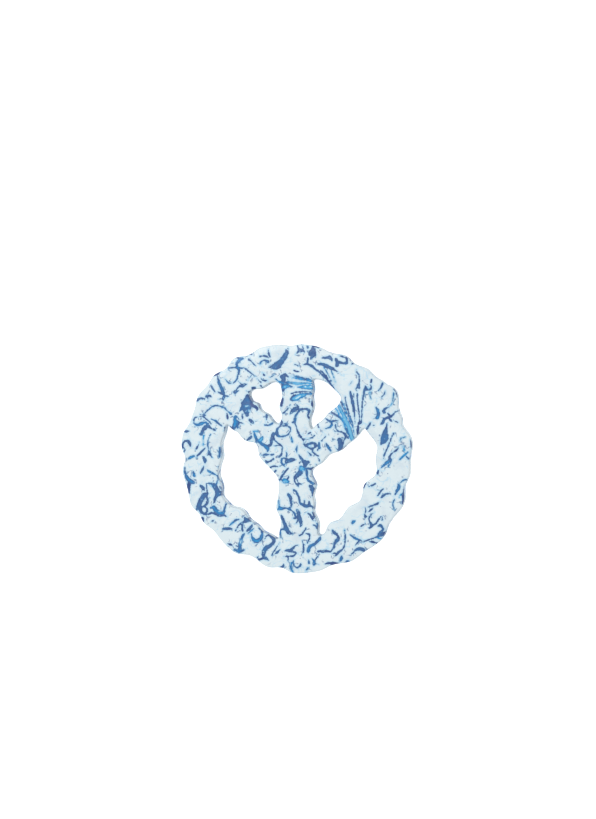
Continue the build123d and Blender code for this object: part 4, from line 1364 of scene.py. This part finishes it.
def clouded_body_group():
    """Bluish white with soft clouds, thin threads that leave the veins, and dark specks."""
    colour = "NodeSocketColor"
    tree, given, result = new_group(
        "clouded body", "ShaderNodeTree",
        (("Position", "NodeSocketVector", None), ("Near Vein", "NodeSocketFloat", 0.0),
         ("Body", colour, None), ("Cloud", colour, None), ("Thread", colour, None),
         ("Dark", colour, None)),
        (("Color", colour),))
    place = given["Position"]
    size, strength = CLOUD
    clouds = eased(tree, noise(tree, place, size, 4.0, 0.8, seed=11.0), 0.46, 0.72)
    shade = mixed(tree, product(tree, clouds, strength), given["Body"], given["Cloud"])
    size, strength = THREAD
    fold = fold_line(tree, noise(tree, place, size, 2.5, 0.5, seed=17.0))
    patch = eased(tree, noise(tree, place, THREAD_PATCH, 1.0, seed=23.0), 0.40, 0.60)
    thread = product(tree, eased(tree, fold, THREAD_WIDTH, 0.0), patch, strength)
    shade = mixed(tree, thread, shade, given["Thread"])
    size, strength = BRANCH
    fold = fold_line(tree, noise(tree, place, size, 1.6, 0.6, seed=41.0))
    lengths = eased(tree, noise(tree, place, BRANCH_LENGTH, 1.0, seed=43.0), 0.50, 0.62)
    beside = calc(tree, "SUBTRACT", fold, product(tree, lengths, BRANCH_WIDTH))
    branch = eased(tree, beside, BRANCH_SOFTNESS, -BRANCH_SOFTNESS)
    branch = product(tree, branch, lengths, given["Near Vein"], strength)
    shade = mixed(tree, branch, shade, given["Dark"])
    size, reach = SPECK_RAG
    warp = put(tree, "ShaderNodeTexNoise", named={"Vector": place, "Scale": 1 / size}).outputs[1]
    warped = vector_calc(tree, "ADD", place, stretched(tree, warp, reach))
    cells = put(tree, "ShaderNodeTexVoronoi", named={"Vector": warped, "Scale": 1 / SPECK_SPACING})
    chance = put(tree, "ShaderNodeSeparateXYZ", cells.outputs["Color"]).outputs[0]
    radius = product(tree, calc(tree, "SUBTRACT", chance, 0.45), 0.24)
    speck = eased(tree, calc(tree, "SUBTRACT", cells.outputs["Distance"], radius), 0.02, -0.03)
    shade = mixed(tree, product(tree, speck, SPECK_STRENGTH), shade, given["Dark"])
    tree.links.new(shade, result["Color"])
    return tree


def pressed_gloss_group():
    """Gloss that varies a little, and the height of fine ripples and pinpricks."""
    tree, given, result = new_group(
        "pressed gloss", "ShaderNodeTree",
        (("Position", "NodeSocketVector", None), ("Smoothest", "NodeSocketFloat", 0.2),
         ("Roughest", "NodeSocketFloat", 0.36)),
        (("Roughness", "NodeSocketFloat"), ("Height", "NodeSocketFloat")))
    place = given["Position"]
    patches = eased(tree, noise(tree, place, GLOSS_PATCH, 4.0, seed=29.0), 0.3, 0.7)
    span = calc(tree, "SUBTRACT", given["Roughest"], given["Smoothest"])
    rough = calc(tree, "ADD", given["Smoothest"], product(tree, patches, span))
    tree.links.new(rough, result["Roughness"])
    ripple = noise(tree, place, RIPPLE, 3.0, seed=31.0)
    pits = put(tree, "ShaderNodeTexVoronoi", named={"Vector": place, "Scale": 1 / PIT_SPACING})
    pit = product(tree, eased(tree, pits.outputs["Distance"], 0.16, 0.04), PIT_DEPTH)
    tree.links.new(calc(tree, "SUBTRACT", ripple, pit), result["Height"])
    return tree


def marbled_plastic():
    """Glossy pressed plastic, bluish white with blue veins and pools all through it."""
    name = "marbled plastic"
    if name in bpy.data.materials:
        return bpy.data.materials[name]
    colours = bpy.context.scene.spoked_ring_colours
    shades = {key: (*getattr(colours, key), 1.0)
              for key in ("body", "cloud", "halo", "navy", "slate", "blue", "azure", "sky", "painted_glint",
                          "edge")}
    material = bpy.data.materials.new(name)
    material.use_nodes = True
    tree = material.node_tree
    shader = tree.nodes["Principled BSDF"]
    place = put(tree, "ShaderNodeTexCoord").outputs["Object"]

    def attribute(label):
        return put(tree, "ShaderNodeAttribute", attribute_name=label).outputs["Fac"]

    shape = vein_shape_group()
    vein_distance = attribute("vein_distance")
    vein_tint = attribute("vein_tint")
    vein = place_group(tree, shape, {"Distance": vein_distance, "Position": place})
    painted_glint = place_group(tree, shape, {"Distance": attribute("painted_glint_distance"), "Position": place,
                                      "Raggedness": 0.4, "Softness": 0.5, "Halo Width": 1.5})
    vein_colour = place_group(tree, vein_colour_group(), {
        "Tint": vein_tint, "Depth": vein["Depth"], "Position": place,
        "Navy": shades["navy"], "Slate": shades["slate"], "Blue": shades["blue"],
        "Azure": shades["azure"], "Sky": shades["sky"], "Fleck": shades["halo"]})["Color"]
    body = place_group(tree, clouded_body_group(), {
        "Position": place, "Near Vein": eased(tree, vein_distance, 4.5, 1.0),
        "Body": shades["body"], "Cloud": shades["cloud"], "Thread": shades["halo"],
        "Dark": shades["slate"]})["Color"]
    gloss = place_group(tree, pressed_gloss_group(), {"Position": place})
    vivid = calc(tree, "POWER", vein_tint, 2.0)
    halo = mixed(tree, vivid, shades["halo"], shades["sky"])
    shade = mixed(tree, product(tree, vein["Halo"], 0.62), body, halo)
    shade = mixed(tree, vein["Vein"], shade, vein_colour)
    # Painted highlight: an azure surround and cyan-white specular glints painted into the bluest pools
    shade = mixed(tree, product(tree, painted_glint["Halo"], 0.5), shade, shades["azure"])
    shade = mixed(tree, product(tree, painted_glint["Vein"], 0.85), shade, shades["painted_glint"])
    # Painted shade: dark line along the top and the foot of each wall
    line = product(tree, attribute("painted_edge_shade"), EDGE_SHADE_STRENGTH)
    shade = mixed(tree, line, shade, shades["edge"])
    tree.links.new(shade, shader.inputs["Base Color"])
    tree.links.new(gloss["Roughness"], shader.inputs["Roughness"])
    bump = put(tree, "ShaderNodeBump", named={"Strength": 0.25, "Distance": BUMP_DEPTH,
                                              "Height": gloss["Height"]})
    tree.links.new(bump.outputs[0], shader.inputs["Normal"])
    shader.inputs["IOR"].default_value = 1.49
    shader.inputs["Coat Weight"].default_value = 0.2
    shader.inputs["Coat Roughness"].default_value = 0.12
    return material


# ---------------------------------------------------------------------------------------
# Stage
# ---------------------------------------------------------------------------------------

# Places and sizes in metres, angle in degrees
CAMERA_PLACE = (0.2819, 0.0633, 1.565)
CAMERA_AIM = (0.0014, 0.0428, 0.007)
CAMERA_WIDTH_ANGLE = 18.6
SOFTBOX_PLACE = (-0.6, 0.7, 1.5)
SOFTBOX_SIZE = 1.0
SOFTBOX_POWER = 7.0
SKY_STRENGTH = 0.85
FLOOR_REACH = 6.0           # from the ring to the sides of the floor
FLOOR_LEVEL = -0.1 * MM
FLOOR_BOUNCE = 0.28         # light of the floor itself that also falls on the walls
FLOOR_GLOW = 0.5            # further light that only the camera sees, to keep the gaps plain


def add_floor(colour):
    """Plain pale floor, wide enough to fill every view."""
    corners = [(x * FLOOR_REACH, y * FLOOR_REACH, FLOOR_LEVEL)
               for x, y in ((-1, -1), (1, -1), (1, 1), (-1, 1))]
    mesh = bpy.data.meshes.new("floor")
    mesh.from_pydata(corners, [], [(0, 1, 2, 3)])
    material = bpy.data.materials.new("pale floor")
    material.use_nodes = True
    shader = material.node_tree.nodes["Principled BSDF"]
    shader.inputs["Base Color"].default_value = (*colour, 1.0)
    shader.inputs["Roughness"].default_value = 0.9
    shader.inputs["Specular IOR Level"].default_value = 0.1
    tree = material.node_tree
    seen = put(tree, "ShaderNodeLightPath").outputs["Is Camera Ray"]
    give(tree, shader.inputs["Emission Color"], (*colour, 1.0))
    glow = calc(tree, "ADD", FLOOR_BOUNCE, product(tree, seen, FLOOR_GLOW))
    give(tree, shader.inputs["Emission Strength"], glow)
    mesh.materials.append(material)
    floor = add_object("floor", mesh)


def aimed(place, aim, up):
    """Placement that looks from one point at another, with a direction kept upright."""
    back = (Vector(place) - Vector(aim)).normalized()
    right = Vector(up).cross(back).normalized()
    turn = Matrix((right, back.cross(right), back)).transposed().to_4x4()
    return Matrix.Translation(place) @ turn


def add_softbox(name, place, aim, size, power):
    """Large soft lamp."""
    lamp = bpy.data.lights.new(name, "AREA")
    lamp.size = size
    lamp.energy = power
    made = add_object(name, lamp)
    made.matrix_world = aimed(place, aim, (0, 1, 0))


def add_camera():
    """Camera high over the ring, a little to its right, with a long lens."""
    lens = bpy.data.cameras.new("camera")
    lens.sensor_fit = "HORIZONTAL"
    lens.angle = np.radians(CAMERA_WIDTH_ANGLE)
    lens.dof.use_dof = False
    camera = add_object("camera", lens)
    camera.matrix_world = aimed(CAMERA_PLACE, CAMERA_AIM, (0, 1, 0))
    bpy.context.scene.camera = camera


# ---------------------------------------------------------------------------------------
# Operators and panel
# ---------------------------------------------------------------------------------------

class SPOKED_RING_OT_add_rim(bpy.types.Operator):
    """Adds the closed rim."""

    bl_idname = "spoked_ring.add_rim"
    bl_label = "Add Rim"

    def execute(self, context):
        add_member(context, "rim")
        return {"FINISHED"}


class SPOKED_RING_OT_add_spokes(bpy.types.Operator):
    """Adds the upright post and the two arms that rise from it."""

    bl_idname = "spoked_ring.add_spokes"
    bl_label = "Add Spokes"

    def execute(self, context):
        for node in ("post", "left_arm", "right_arm"):
            add_member(context, node)
        return {"FINISHED"}


class SPOKED_RING_OT_add_stage(bpy.types.Operator):
    """Adds the floor, the soft light and the camera."""

    bl_idname = "spoked_ring.add_stage"
    bl_label = "Add Stage"

    def execute(self, context):
        add_floor(context.scene.spoked_ring_colours.floor)
        world = bpy.data.worlds.new("white studio")
        world.use_nodes = True
        sky = world.node_tree.nodes["Background"]
        sky.inputs["Color"].default_value = (1.0, 1.0, 1.0, 1.0)
        sky.inputs["Strength"].default_value = SKY_STRENGTH
        context.scene.world = world
        add_softbox("overhead softbox", SOFTBOX_PLACE, (0, 0, 0), SOFTBOX_SIZE, SOFTBOX_POWER)
        context.scene.view_settings.view_transform = "Standard"
        add_camera()
        return {"FINISHED"}


class SPOKED_RING_PT_panel(bpy.types.Panel):
    """Lists the operators and the settings in the sidebar."""

    bl_idname = "SPOKED_RING_PT_panel"
    bl_label = "Spoked Ring"
    bl_space_type = "VIEW_3D"
    bl_region_type = "UI"
    bl_category = "Spoked Ring"

    def draw(self, context):
        for operator in (SPOKED_RING_OT_add_rim, SPOKED_RING_OT_add_spokes, SPOKED_RING_OT_add_stage):
            self.layout.operator(operator.bl_idname)
        for settings in (context.scene.spoked_ring_shape, context.scene.spoked_ring_colours):
            box = self.layout.box()
            for name in settings.__annotations__:
                box.prop(settings, name)


CLASSES = (SpokedRingShape, SpokedRingColours, SPOKED_RING_OT_add_rim, SPOKED_RING_OT_add_spokes,
           SPOKED_RING_OT_add_stage, SPOKED_RING_PT_panel)


def register():
    for cls in CLASSES:
        bpy.utils.register_class(cls)
    bpy.types.Scene.spoked_ring_shape = PointerProperty(type=SpokedRingShape)
    bpy.types.Scene.spoked_ring_colours = PointerProperty(type=SpokedRingColours)


def unregister():
    del bpy.types.Scene.spoked_ring_colours
    del bpy.types.Scene.spoked_ring_shape
    for cls in reversed(CLASSES):
        bpy.utils.unregister_class(cls)


def main():
    """Builds every piece and the stage."""
    register()
    bpy.ops.spoked_ring.add_rim()
    bpy.ops.spoked_ring.add_spokes()
    bpy.ops.spoked_ring.add_stage()


if __name__ == "__main__":
    main()
